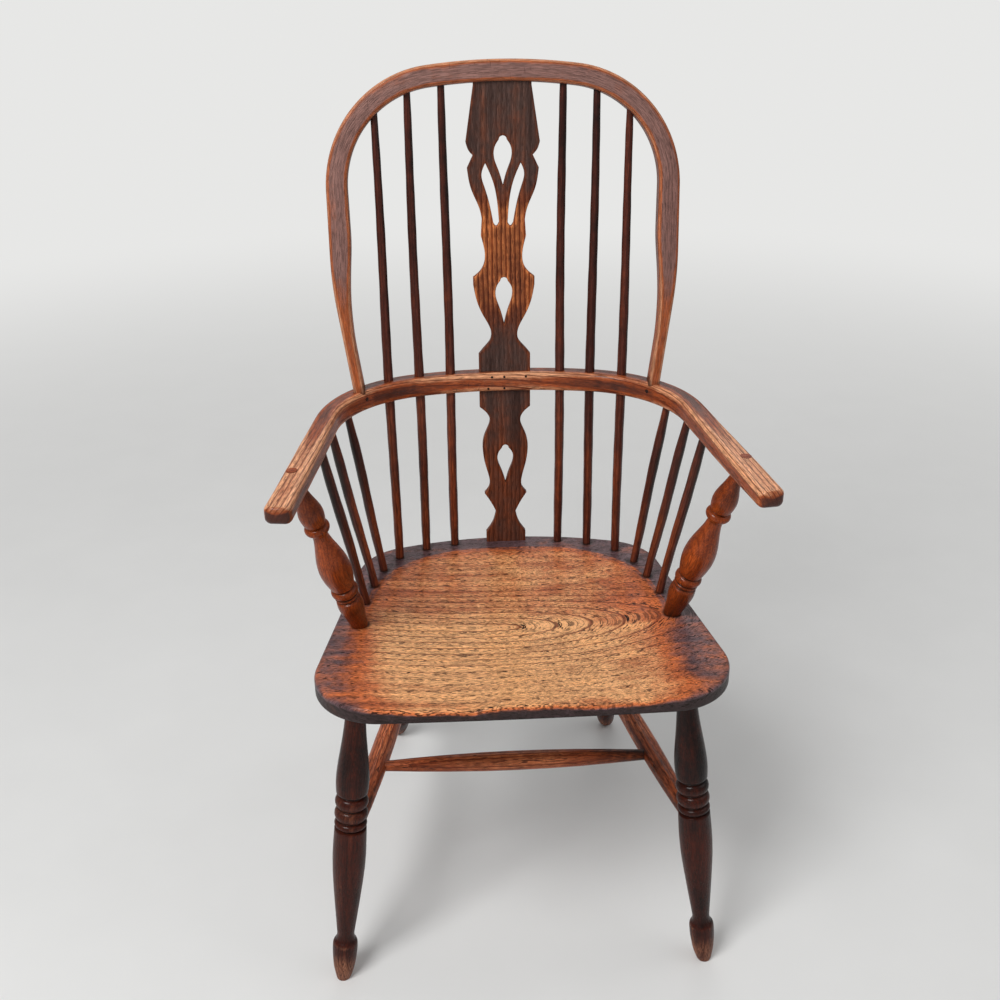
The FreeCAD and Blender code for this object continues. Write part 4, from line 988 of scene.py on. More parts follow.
SUPPORT_SEAT = (0.1915, -0.009)
SUPPORT_ARM_Y = -0.074
SUPPORT_FOOT = 0.566
SUPPORT_GROOVES = (0.222, 0.249, 0.304, 0.701, 0.760)
TENON_RADIUS = 0.006
TENON_PROUD = 0.00025


def support_line():
    line = ArmLine(chair().arm)
    at_arm = np.array([line.side_x(SUPPORT_ARM_Y), SUPPORT_ARM_Y, float(line.under_z(SUPPORT_ARM_Y))])
    return on_seat(*SUPPORT_SEAT), at_arm


def support_outline(vase, whole, end):
    """Vase foot, ring, long vase, collar, small vase and thin tenon, at shares of the height, with radii as
    shares of the long vase's."""
    foot, swell, neck = vase * SUPPORT_FOOT, vase * 0.825, vase * 0.667
    waist, high = vase * 0.460, vase * 0.762

    def at(part):
        return part * whole

    turning = Turning(foot * 0.9, -0.004).line(foot, 0.0005)
    turning.curve((swell * 0.81, at(0.08)), (swell, at(0.175)), (swell * 0.93, at(0.212)))
    turning.line(neck * 0.93, at(0.220)).line(neck * 0.93, at(0.226)).bead(neck, at(0.247), 0.0024)
    turning.line(neck * 0.95, at(0.251)).bead(neck * 0.97, at(0.300), 0.0042)
    turning.line(neck * 0.97, at(0.305)).line(vase * 0.77, at(0.315))
    turning.curve((vase, at(0.42)), (vase * 0.84, at(0.54)), (waist * 1.1, at(0.66)), (waist, at(0.698)))
    turning.line(waist * 1.12, at(0.704)).bead(waist * 1.24, at(0.752), 0.0044)
    turning.line(waist * 1.08, at(0.757)).line(high * 0.86, at(0.765))
    turning.curve((high, at(0.82)), (high * 0.71, at(0.91)), (TENON_RADIUS * 1.05, at(0.985)))
    turning.line(TENON_RADIUS, whole + 0.001).line(TENON_RADIUS, end)
    return turning.line(TENON_RADIUS * 0.70, end)


def make_arm_supports():
    """Balusters spun from their outline, with the tenon's end cut level just above the arm."""
    low, arm = support_line()
    level = chair().arm.height + TENON_PROUD
    whole = np.linalg.norm(arm - low)
    along = unit(arm - low)
    lean = TENON_RADIUS * math.hypot(along[0], along[1]) / along[2]
    end = whole + (level - arm[2]) / along[2] + lean
    turning = support_outline(chair().turned.vase, whole, end)

    def worn(height):
        swell = np.sin(math.pi * np.clip(height / whole, 0, 1)) ** 2
        return 0.30 + 0.20 * swell + 0.2 * (height > end - 0.0001)

    def grime_and_shade(height, radius):
        # The grooves are darkened by dirt and painted shade
        grooves = sum(bell(height / whole, part, 0.007) for part in SUPPORT_GROOVES)
        joint = ease(whole - 0.006, whole, height) * (radius > TENON_RADIUS * 0.95)
        return 0.85 * grooves + 0.8 * np.exp(-np.abs(height) / 0.003) + 0.9 * joint

    for number, (side, sign) in enumerate(SIDES):
        tree = (0.052 + 0.013 * number, 0.024, 0.61 + 0.5 * number)
        skin = spun(turning, low, arm, tree, 72, worn, grime_and_shade)
        over = np.maximum(skin.points[:, 2] - level, 0.0)
        skin.points -= along * (over / along[2])[:, None]
        add_sided("turned", "arm_support_" + side, skin, sign, "support_wood")


# Legs and stretchers

LEGS = {"front": ((0.1925, -0.098), FRONT_FOOT), "rear": ((0.114, 0.144), (0.175, 0.343))}
RING_FOOT = 0.237
RING_GROOVE = 0.0044
LEG_GROOVES = (-0.011, -0.0007, 0.0162, 0.0335)
BELLY_HEIGHT = 0.180
ANKLE_HEIGHT = 0.069
FOOT_HEIGHT = 0.047
LEG_NECK = 0.012
STRETCHER_HEIGHT = {"front": 0.200, "rear": 0.175}
CROSS_Y = 0.025
SIDE_STRETCHER_END = 0.0095
CROSS_STRETCHER_END = 0.0072
STRETCHER_COLLAR = 0.006


def leg_line(place):
    socket, foot = LEGS[place]
    return np.array([*foot, 0.0]), under_seat(*socket)


def level_foot(skin, foot, along, reach=0.012):
    """Shear the lowest stretch of a leaning leg so that its end lies flat on the floor."""
    height = (skin.points - foot) @ along
    aside = skin.points[:, 2] - height * along[2]
    drop = -aside / along[2] * np.clip(1 - height / reach, 0.0, 1.0)
    skin.points += along * drop[:, None]


def leg_outline(sizes, whole):
    """Worn foot, ankle, long belly, a half ring and two rings with deep grooves, then a taper up to the
    seat. Heights are from the floor along the leg."""
    ring, groove, bottom = sizes.ring, sizes.ring - RING_GROOVE, sizes.foot * 0.585
    leg = Turning(bottom * 0.93, 0.0).line(bottom, 0.0012)
    leg.curve((sizes.foot * 0.80, FOOT_HEIGHT * 0.30), (sizes.foot * 0.95, FOOT_HEIGHT * 0.68),
              (sizes.foot, FOOT_HEIGHT), (sizes.foot * 0.985, FOOT_HEIGHT + 0.0065))
    leg.curve((sizes.foot * 0.93, FOOT_HEIGHT + 0.0095), (sizes.ankle * 1.14, FOOT_HEIGHT + 0.0125))
    leg.curve((sizes.ankle * 1.02, ANKLE_HEIGHT - 0.005), (sizes.ankle, ANKLE_HEIGHT))
    leg.curve((sizes.belly * 0.835, (ANKLE_HEIGHT + BELLY_HEIGHT) / 2 + 0.006),
              (sizes.belly, BELLY_HEIGHT), (ring * 0.985, RING_FOOT - 0.013))
    leg.line(groove * 1.03, RING_FOOT - 0.0115).line(groove * 1.03, RING_FOOT - 0.0103)
    leg.bead(groove * 1.02, RING_FOOT - 0.0015, 0.0040, 0.45).line(groove, RING_FOOT)
    leg.bead(groove, RING_FOOT + 0.0155, 0.0048, 0.5).line(groove * 0.99, RING_FOOT + 0.0170)
    leg.bead(groove * 0.99, RING_FOOT + 0.0325, 0.0048, 0.5).line(groove * 0.98, RING_FOOT + 0.0345)
    swell = RING_FOOT + 0.042
    leg.line(ring * 0.96, swell - 0.0050)
    return leg.curve((ring * 0.985, swell), (ring * 0.81, swell + (whole - swell) * 0.42),
                     (LEG_NECK, whole - 0.025), (LEG_NECK, whole + 0.004))


def leg_wear_and_sheen(height):
    """Scuffed feet, and bells of wear at the foot's shoulder, the belly and the rings; the bell at the rings
    also paints in their sheen.
    """
    foot = 0.55 * ease(0.058, 0.020, height) + 0.26 * bell(height, 0.054, 0.003)
    belly, rings = bell(height, BELLY_HEIGHT - 0.03, 0.07), bell(height, RING_FOOT + 0.013, 0.02)
    return 0.13 + foot + 0.16 * (belly + rings)


def make_legs():
    """Turned legs, spun from one outline and cut level on the floor."""
    for place in LEGS:
        foot, seat = leg_line(place)
        whole = np.linalg.norm(seat - foot)
        leg = leg_outline(chair().turned, whole)

        def grime_and_shade(height, radius):
            # The grooves are darkened by dirt and painted shade
            grooves = sum(bell(height, RING_FOOT + part, 0.0014) for part in LEG_GROOVES)
            return 0.9 * grooves + 0.5 * ease(whole - 0.02, whole, height) + 0.3 * ease(0.01, 0.0, height)

        for number, (side, sign) in enumerate(SIDES):
            tree = (0.034 + 0.006 * number, 0.027, 2.2 + 0.6 * number + 1.3 * (place == "rear"))
            skin = spun(leg, foot, seat, tree, 72, leg_wear_and_sheen, grime_and_shade, rubbed=(-0.04 * sign, -0.05, 0.0))
            skin.worn = skin.worn + 0.10 * number * (place == "front")
            level_foot(skin, foot, unit(seat - foot))
            add_sided("turned", "leg_" + place + "_" + side, skin, sign, "leg_wood")


def on_leg(place, height):
    foot, seat = leg_line(place)
    return foot + (seat - foot) * (height / seat[2])


def stretcher(start, end, belly, tip, host, tree, rubbed):
    """A bar swelled in the middle, its radius through five spots, that beds into a round piece at each
    end a little inside that piece's surface."""
    along = unit(end - start)
    reach = math.sqrt(host ** 2 - tip ** 2) - 0.0035
    whole = np.linalg.norm(end - start) - 2 * reach
    full = tip + (belly - tip) * 0.6
    bar = Turning(tip * 0.97, 0.0).line(tip, STRETCHER_COLLAR)
    bar.curve((full, whole * 0.2), (belly, whole * 0.5), (full, whole * 0.8), (tip, whole - STRETCHER_COLLAR))
    bar.line(tip * 0.97, whole)

    def worn(height):
        return 0.22 + rubbed * np.sin(math.pi * height / whole) ** 2

    def grime_and_shade(height, radius):
        return 0.8 * (np.exp(-height / 0.006) + np.exp(-(whole - height) / 0.006))

    first = start + along * reach
    return spun(bar, first, first + along * whole, tree, 64, worn, grime_and_shade, flats=0.012)


def make_stretchers():
    """The H: one side stretcher from leg to leg on each side, and the cross stretcher between them."""
    sizes = chair().turned
    front, rear = (on_leg(place, STRETCHER_HEIGHT[place]) for place in ("front", "rear"))
    for number, (side, sign) in enumerate(SIDES):
        skin = stretcher(front, rear, sizes.stretcher, SIDE_STRETCHER_END, sizes.belly,
                         (0.045, 0.022, 4.9 + 0.5 * number), 0.30)
        add_sided("turned", "side_stretcher_" + side, skin, sign, "stretcher_wood")
    left = front + (rear - front) * ((CROSS_Y - front[1]) / (rear[1] - front[1]))
    right = left * MIRROR
    skin = stretcher(left, right, sizes.cross, CROSS_STRETCHER_END, sizes.stretcher,
                     (0.019, 0.011, 6.4), 0.42)
    add_piece("turned_cross_stretcher", [skin], "stretcher_wood", "cross_stretcher")


# Splats

SPLAT_ARM = 0.0332
SPLAT_SEAT = 0.0270
SPLAT_BOW = 0.0343
UPPER_WAIST = 0.0168
UPPER_MIDDLE = 0.0385
UPPER_SHOULDER = 0.0444
LOWER_WAIST = 0.0134
LOWER_MIDDLE = 0.0300
OUTLINE_STEP = 0.0014
FACE_STEP = 0.0030
RIM_CLEARANCE = 0.4 * FACE_STEP
ROUND_STEPS = 5


def inside(points, loop):
    """Which points lie inside a closed loop: a ray to +X crosses its edges an odd number of times."""
    a, b = loop, np.roll(loop, -1, axis=0)
    x, y = points[:, :1], points[:, 1:]
    spans = (a[:, 1] > y) != (b[:, 1] > y)
    rise = np.where(b[:, 1] == a[:, 1], 1e-12, b[:, 1] - a[:, 1])
    cross = a[:, 0] + (y - a[:, 1]) * (b[:, 0] - a[:, 0]) / rise
    return (spans & (x < cross)).sum(axis=1) % 2 == 1


def turned_way(loop, way):
    """A loop that runs anticlockwise for way 1 and clockwise for way -1, by the sign of its area."""
    x, y = loop.T
    area = (x * np.roll(y, -1) - np.roll(x, -1) * y).sum()
    return loop if area * way > 0 else loop[::-1]


class SplatDrawing:
    """A splat's edges between two heights; a spot is a distance across and a share of the way up."""

    def __init__(self, low, high, lean):
        self.low, self.high, self.lean = low, high, lean

    def trace(self, *runs):
        """Points along runs that join end to end: two spots run straight, more run smoothly."""
        points = []
        for run in runs:
            spots = np.array(run)
            spots[:, 1] = (self.low + spots[:, 1] * (self.high - self.low)) / math.cos(self.lean)
            curve = smooth(spots, 60) if len(run) > 2 else spots
            reach = np.linalg.norm(np.diff(curve, axis=0), axis=1).sum()
            points.append(evenly(curve, max(2, int(reach / OUTLINE_STEP) + 1))[:-1])
        return np.concatenate(points + [spots[-1:]])

    def whole(self, half, closed_ends=False):
        """A loop from its right half, traced upwards, and its mirror image."""
        other = half[::-1] * MIRROR[:2]
        return np.concatenate([half, other[1:-1] if closed_ends else other])

    def teardrop(self, head, radius, wide, half_width, point):
        """A small round head over a shape that widens and runs down to a point, as shares of the height."""
        part = radius / (self.high - self.low)
        return self.trace(
            [(0, point), (half_width * 0.45, wide * 0.45 + point * 0.55), (half_width, wide),
             (half_width * 0.78, (head + wide) / 2), (radius, head - part)],
            [(radius, head - part), (radius * 0.7, head - part * 0.3), (0, head)])


def edge_band(loop, half, r):
    """Rings of spots round a loop, from the front face over the edge to the back face: two quarter rounds
    with inset r(1 - sin t) and depth half - r(1 - cos t), and a straight wall between them."""
    turn = np.linspace(0.0, math.pi / 2, ROUND_STEPS)
    inset = np.concatenate([r * (1 - np.sin(turn)), r * (1 - np.sin(turn[::-1]))])
    depth = np.concatenate([half - r * (1 - np.cos(turn)), -half + r * (1 - np.cos(turn[::-1]))])
    tangent = unit(np.roll(loop, -1, axis=0) - np.roll(loop, 1, axis=0))
    inward = np.stack([-tangent[:, 1], tangent[:, 0]], axis=-1)
    rows = loop[None] + inward[None] * inset[:, None, None]
    return np.concatenate([rows, np.broadcast_to(depth[:, None, None], rows.shape[:2] + (1,))], axis=-1)


def on_board(points, rims):
    """Which points lie inside the first rim and outside the others."""
    keep = inside(points, rims[0])
    for hole in rims[1:]:
        keep &= ~inside(points, hole)
    return keep


def filled_face(rims):
    """Triangles that fill a face between its outer rim and its holes, over an even grid of spots.

    Gives the grid's spots, their distance from the nearest rim, and the triangles, whose numbers count
    the rims' spots first and then the grid's."""
    rim = np.concatenate(rims)
    links, first = [], 0
    for loop in rims:
        links += [(first + i, first + (i + 1) % len(loop)) for i in range(len(loop))]
        first += len(loop)
    low, high = rim.min(axis=0), rim.max(axis=0)
    columns, rows = (np.arange(low[k], high[k], FACE_STEP) for k in (0, 1))
    grid = np.stack(np.meshgrid(columns, rows), axis=-1).reshape(-1, 2)
    near = np.sqrt(((grid[:, None] - rim[None]) ** 2).sum(axis=-1)).min(axis=1)
    keep = on_board(grid, rims) & (near > RIM_CLEARANCE)
    grid, near = grid[keep], near[keep]
    spots = np.concatenate([rim, grid])
    filled = delaunay_2d_cdt([Vector(spot) for spot in spots], links, [], 0, 1e-8)
    if len(filled[0]) != len(spots):
        raise RuntimeError("The splat's edges cross")
    source = np.array([came[0] for came in filled[3]])
    triangles = source[np.array(filled[2])]
    triangles = triangles[on_board(spots[triangles].mean(axis=1), rims)]
    corner = spots[triangles]
    area = np.cross(corner[:, 1] - corner[:, 0], corner[:, 2] - corner[:, 0])
    triangles[area < 0] = triangles[area < 0][:, ::-1]
    return grid, near, triangles


def board_skin(loops, lean, foot_y, middle_rub, edge_rub, tree):
    """A flat board with pierced holes and rounded edges, leaned back.

    Its bands of edge join two filled faces. A spot is foot + X x across + up the lean + forward x depth.
    Wear on a face is e to the minus distance from the rim."""
    half, r = chair().back.splat_thickness / 2, chair().back.splat_edge
    bands = [edge_band(turned_way(loop, -1 if k else 1), half, r) for k, loop in enumerate(loops)]
    walls, fronts, backs, first = [], [], [], 0
    for band in bands:
        rings, around, _ = band.shape
        walls += (ring_faces(rings, around)[:, ::-1] + first).tolist()
        fronts.append(first + np.arange(around))
        first += rings * around
        backs.append(first - around + np.arange(around))
    grid, near, triangles = filled_face([band[0, :, :2] for band in bands])
    number = first + np.arange(len(grid))
    fronts = np.concatenate([*fronts, number])[triangles]
    backs = np.concatenate([*backs, number + len(grid)])[triangles][:, ::-1]
    faces = [np.insert(grid, 2, depth, axis=1) for depth in (half, -half)]
    flat = np.concatenate([band.reshape(-1, 3) for band in bands] + faces)
    across, up, depth = flat.T[:, :, None]
    upward = np.array([0.0, math.sin(lean), math.cos(lean)])
    forward = np.array([0.0, -math.cos(lean), math.sin(lean)])
    points = foot_y * BACKWARD + across * ACROSS + up * upward + depth * forward
    worn = np.concatenate([np.full(first, 0.62), *2 * [0.50 * np.exp(-near / 0.0016)]])
    worn = 0.16 + edge_rub * worn + middle_rub(flat[:, 1] * math.cos(lean))
    grain = np.hstack([across + 0.3 * depth + 0.002 * np.sin(up * 9), depth, up]) + np.array(tree)
    grime_and_shade = 0.35 * (np.abs(flat[:, 2]) < half - r) * (np.arange(len(flat)) < first)
    return Skin(points, walls + fronts.tolist() + backs.tolist(), grain, worn, grime_and_shade)


def splat_line():
    """Lean of the splats, and Y of their plane at the floor, from the arm bow's middle to the crown's."""
    arm, bow = chair().arm, hoop()
    low = np.array([0.0, arm.back, arm.height - arm.thickness / 2])
    high = bow.stand(0.0, bow.inner_rise(0.0))
    lean = math.atan2(high[1] - low[1], high[2] - low[2])
    return lean, low[1] - math.tan(lean) * low[2], high[2]


def upper_splat_loops(splat):
    """The fiddle-shaped board's edge, then its two teardrops and its pair of slots."""
    foot, waist, middle, shoulder = SPLAT_ARM, UPPER_WAIST, UPPER_MIDDLE, UPPER_SHOULDER
    half = splat.trace(
        [(foot, -0.010), (foot, 0.0639)],
        [(foot, 0.0639), (foot * 0.77, 0.0904), (waist * 1.07, 0.1187), (waist, 0.1470),
         (middle * 0.67, 0.2060), (middle * 0.89, 0.2628), (middle, 0.3208)],
        [(middle, 0.3208), (middle, 0.3482)],
        [(middle, 0.3482), (middle * 0.755, 0.3716), (middle * 0.613, 0.4070), (middle * 0.63, 0.4522),
         (middle * 0.722, 0.4937)],
        [(middle * 0.722, 0.4937), (middle * 0.686, 0.5508)],
        [(middle * 0.686, 0.5508), (shoulder * 0.64, 0.5813), (shoulder * 0.883, 0.6585),
         (shoulder * 0.975, 0.7238)],
        [(shoulder * 0.975, 0.7238), (shoulder * 0.81, 0.7664)],
        [(shoulder * 0.81, 0.7664), (shoulder * 0.923, 0.7828), (shoulder, 0.8099)],
        [(shoulder, 0.8099), (SPLAT_BOW, 0.9897)],
        [(SPLAT_BOW, 0.9897), (SPLAT_BOW, 1.012)])
    drops = [splat.whole(splat.teardrop(0.8303, 0.0050, 0.7715, 0.0110, 0.6655), True),
             splat.whole(splat.teardrop(0.3487, 0.0048, 0.2925, 0.0107, 0.1780), True)]
    slot = splat.trace(
        [(0.0214, 0.7404), (0.0259, 0.7051), (0.0226, 0.6613), (0.0170, 0.6068), (0.0123, 0.5384)],
        [(0.0123, 0.5384), (0.0089, 0.5268), (0.0052, 0.5398)],
        [(0.0052, 0.5398), (0.0071, 0.6076), (0.0130, 0.6853), (0.0214, 0.7404)])[:-1]
    return [splat.whole(half), *drops, slot, slot * MIRROR[:2]]


def lower_splat_loops(splat):
    """The waisted board's edge, then its teardrop."""
    foot, waist, middle, head = SPLAT_SEAT, LOWER_WAIST, LOWER_MIDDLE, SPLAT_ARM
    half = splat.trace(
        [(foot, -0.022), (foot, 0.0646)],
        [(foot, 0.0646), (foot * 0.67, 0.1274), (waist, 0.2068)],
        [(waist, 0.2068), (middle * 0.68, 0.2710), (middle * 0.95, 0.3302)],
        [(middle * 0.95, 0.3302), (middle * 0.747, 0.3697), (middle * 0.747, 0.4415), (middle * 0.9, 0.5222),
         (middle, 0.6070), (middle * 0.92, 0.7106), (head * 0.62, 0.8241), (head * 0.768, 0.8632),
         (head, 0.8937)],
        [(head, 0.8937), (head, 1.02)])
    return [splat.whole(half), splat.whole(splat.teardrop(0.6501, 0.0046, 0.5648, 0.0106, 0.4011), True)]


def make_splats():
    """The two pierced boards of the back: a fiddle shape above the arm bow and a waisted one below. The
    middle of the upper one is rubbed, and the lower one less so towards the seat."""
    arm = chair().arm
    lean, foot_y, top = splat_line()
    seat_z = seat_top_z(foot_y + math.tan(lean) * seat_top_z(arm.back))
    under_arm = arm.height - arm.thickness

    def upper_rub(z):
        part = (z - arm.height) / (top - arm.height)
        return 0.42 * ease(0.12, 0.30, part) * ease(0.72, 0.52, part)

    def lower_rub(z):
        return 0.16 * ease(1.0, 0.6, (z - seat_z) / (under_arm - seat_z))

    upper = upper_splat_loops(SplatDrawing(arm.height, top, lean))
    upper = board_skin(upper, lean, foot_y, upper_rub, 0.30, (0.095, 0.015, 7.3))
    add_piece("pierced_upper_splat", [upper], "splat_wood", "upper_splat")
    lower = lower_splat_loops(SplatDrawing(seat_z, under_arm, lean))
    lower = board_skin(lower, lean, foot_y, lower_rub, 0.22, (0.088, 0.017, 8.1))
    add_piece("pierced_lower_splat", [lower], "splat_wood", "lower_splat")


# Pegs, pins and wedges

PEG_RADIUS = 0.0025
PIN_RADIUS = 0.0015
PEG_DOWN = 0.010
PIN_REACH = 0.012
PROUD = 0.00035
# X of the pins' heads on the arm bow, and how far below its top they sit
PIN_ROWS = (((-0.017, -0.001, 0.027), 0.00495), ((-0.022, -0.001), 0.02055))
WEDGE_THICKNESS = 0.0022
WEDGE_SHORTER = 0.0020


def plug(start, along, radius, tree):
    """A small round pin from a point into the wood, its head a low dome: radius x cos, proud x sin."""
    def even(value):
        return lambda height, *radius: np.full(len(height), value)

    a = np.linspace(math.pi / 2, 0.0, 8)[1:]
    pin = Turning(radius * 0.05, -PROUD)
    pin.spots.append(np.stack([radius * np.cos(a), -PROUD * np.sin(a)], axis=-1))
    pin.line(radius, PIN_REACH)
    return spun(pin, start, start + along * PIN_REACH, tree, 24, even(0.15), even(0.7))


def bow_peg(arm, line, bow):
    """A peg through the arm bow from inside, into the left foot of the top bow."""
    middle = np.array([bow.foot_x, bow.foot[1], 0.0])
    out = unit(middle - line.corner_centre)
    start = middle - out * (arm.width / 2) + UP * (arm.height - PEG_DOWN)
    return plug(start, out, PEG_RADIUS, (0.02, 0.02, 9.0))


def splat_pin(arm, line, x, down):
    """A pin into the front of the arm bow."""
    start = np.array([x, line.back_y(x) - arm.width / 2, arm.height - down])
    return plug(start, BACKWARD, PIN_RADIUS, (0.02, 0.02, 9.2 + x))


def tenon_wedge(arm, line):
    """A wedge driven into the left support's tenon: a rectangle carried down it that thins to its point,
    with its head cut level just above the arm."""
    low, at_arm = support_line()
    down = unit(low - at_arm)
    along = unit(line.side_along - down * (line.side_along @ down))
    across = np.cross(down, along)
    top = at_arm - down * ((arm.height - at_arm[2]) / -down[2])
    depth = np.array([0.0, 0.00015, 0.001, 0.010])
    wide = 2 * TENON_RADIUS - WEDGE_SHORTER - np.array([0.0004, 0.0, 0.0, 0.0])
    thick = WEDGE_THICKNESS * np.array([0.85, 1.0, 1.0, 0.4])
    x, y, worn = section(wide, thick, np.full(4, 0.0003))
    centres = top + down * (depth - 0.004)[:, None]
    sides = (np.broadcast_to(way, centres.shape) for way in (across, along))
    rings = carried(centres, *sides, x, y)
    over = np.maximum(rings[..., 2] - arm.height - TENON_PROUD - 0.0002, 0.0)
    rings = rings + down * (over / -down[2])[..., None]
    grain = np.stack([x + 0.02, y + 0.02, np.broadcast_to(depth[:, None], x.shape)], axis=-1)
    return closed_skin(rings, grain, 0.35 + 0.2 * worn, 0.3 * worn)


def make_fixings():
    """Pegs through the bow's tenons, pins through the splats' and wedges in the supports'."""
    arm = chair().arm
    line = ArmLine(arm)
    peg, wedge = bow_peg(arm, line, hoop()), tenon_wedge(arm, line)
    pins = [splat_pin(arm, line, x, down) for xs, down in PIN_ROWS for x in xs]
    add_piece("bow_pegs", [peg, peg.mirrored()], "peg_wood", "bow_tenon_pegs")
    add_piece("splat_pin_heads", pins, "pin_wood", "splat_pins")
    add_piece("tenon_wedges", [wedge, wedge.mirrored()], "wedge_wood", "arm_support_wedges")


# Materials

def add_node(tree, kind, values=None, **settings):
    """A node with its settings, and with values or links put into its sockets."""
    node = tree.nodes.new(kind)
    for key, value in settings.items():
        setattr(node, key, value)
    for key, value in (values or {}).items():
        if isinstance(value, bpy.types.NodeSocket):
            tree.links.new(value, node.inputs[key])
        else:
            node.inputs[key].default_value = value
    return node


def maths(tree, operation, *values, clamp=False):
    node = add_node(tree, "ShaderNodeMath", dict(enumerate(values)), operation=operation, use_clamp=clamp)
    return node.outputs[0]


def times(tree, *values):
    return maths(tree, "MULTIPLY", *values)


def plus(tree, *values):
    return maths(tree, "ADD", *values)


def spread(tree, value, low, high, to_low=0.0, to_high=1.0):
    """A value eased from one range to another."""
    node = add_node(tree, "ShaderNodeMapRange", {"Value": value, "From Min": low, "From Max": high,
                                                 "To Min": to_low, "To Max": to_high},
                    interpolation_type="SMOOTHSTEP")
    return node.outputs[0]


def stretched(tree, vector, scale):
    node = add_node(tree, "ShaderNodeVectorMath", {0: vector, 1: scale}, operation="MULTIPLY")
    return node.outputs[0]


def noise(tree, vector, detail=2.0, roughness=0.5, distortion=0.0):
    node = add_node(tree, "ShaderNodeTexNoise", {"Vector": vector, "Scale": 1.0, "Detail": detail,
                                                 "Roughness": roughness, "Distortion": distortion})
    return node.outputs["Fac"]


def tinted(tree, factor, first, second, blend="MIX"):
    values = {0: factor, 6: first, 7: second}
    return add_node(tree, "ShaderNodeMix", values, data_type="RGBA", blend_type=blend).outputs[2]


def new_group(name, inputs, outputs):
    """A shader node group with named sockets; gives the tree, its inputs and its output node.

    An input with no value is a vector, and the others are numbers."""
    tree = bpy.data.node_groups.new(name, "ShaderNodeTree")
    for socket, value in inputs.items():
        kind = "NodeSocketVector" if value is None else "NodeSocketFloat"
        made = tree.interface.new_socket(name=socket, in_out="INPUT", socket_type=kind)
        if value is not None:
            made.default_value = value
    for socket in outputs:
        tree.interface.new_socket(name=socket, in_out="OUTPUT", socket_type="NodeSocketFloat")
    source = tree.nodes.new("NodeGroupInput")
    return tree, source.outputs, tree.nodes.new("NodeGroupOutput")


def figure_group():
    """The wood's figure from a point's place in the tree, whose third number runs along the grain.

    Rings are the fraction of distance from the pith over the ring width, with the distance wandering
    slowly. Late wood darkens from a share of each ring to its end, fainter beyond a distance, and pores are
    short dashes that follow the rings, thickest at a ring's start. Streaks and fibres are noise drawn out
    along the grain."""
    found = bpy.data.node_groups.get("Wood figure")
    if found:
        return found
    tree, given, result = new_group(
        "Wood figure",
        {"Tree Place": None, "Ring Width": 0.006, "Wander": 0.012, "Plain Beyond": 9.0, "Pore Width": 0.0011,
         "Pore Breadth": 0.0011, "Pore Length": 0.014, "Shift": 0.0, "Late From": 0.45},
        ("Late Wood", "Pores", "Streaks", "Fibres"))
    place = given["Tree Place"]
    x, y, z = add_node(tree, "ShaderNodeSeparateXYZ", {0: place}).outputs
    square = plus(tree, times(tree, x, x), times(tree, y, y))
    radius = maths(tree, "SQRT", square)
    slow = noise(tree, stretched(tree, place, (16.0, 16.0, 3.2)), 2.0)
    quick = noise(tree, stretched(tree, place, (130.0, 130.0, 34.0)), 2.0)
    wander = times(tree, maths(tree, "SUBTRACT", slow, 0.5), given["Wander"])
    slight = times(tree, given["Wander"], 0.22)
    ripple = times(tree, maths(tree, "SUBTRACT", quick, 0.5), slight)
    reach = plus(tree, plus(tree, radius, wander), ripple)
    turns = maths(tree, "DIVIDE", reach, given["Ring Width"])
    ring = maths(tree, "FRACT", plus(tree, turns, given["Shift"]))
    dark = spread(tree, ring, given["Late From"], 0.94)
    late = times(tree, dark, spread(tree, ring, 1.0, 0.965))
    far = maths(tree, "DIVIDE", reach, given["Plain Beyond"])
    late = times(tree, late, spread(tree, far, 1.0, 2.0, 1.0, 0.25))
    early = spread(tree, ring, 0.60, 0.08)
    wide = maths(tree, "DIVIDE", 1.0, given["Pore Width"])
    broad = maths(tree, "DIVIDE", 1.0, given["Pore Breadth"])
    long = maths(tree, "DIVIDE", 1.0, given["Pore Length"])
    scale = add_node(tree, "ShaderNodeCombineXYZ", {0: wide, 1: broad, 2: long}).outputs[0]
    followed = add_node(tree, "ShaderNodeCombineXYZ", {0: reach, 1: y, 2: z}).outputs[0]
    dashes = spread(tree, noise(tree, stretched(tree, followed, scale), 1.0), 0.52, 0.60)
    thick = maths(tree, "MULTIPLY_ADD", early, 0.45, 0.55)
    streaks = noise(tree, stretched(tree, place, (52.0, 52.0, 2.6)), 3.0, 0.6)
    fibres = noise(tree, stretched(tree, place, (1500.0, 1500.0, 45.0)), 2.0, 0.6)
    pores = times(tree, dashes, thick)
    for socket, value in zip(result.inputs, (late, pores, streaks, fibres)):
        tree.links.new(value, socket)
    return tree


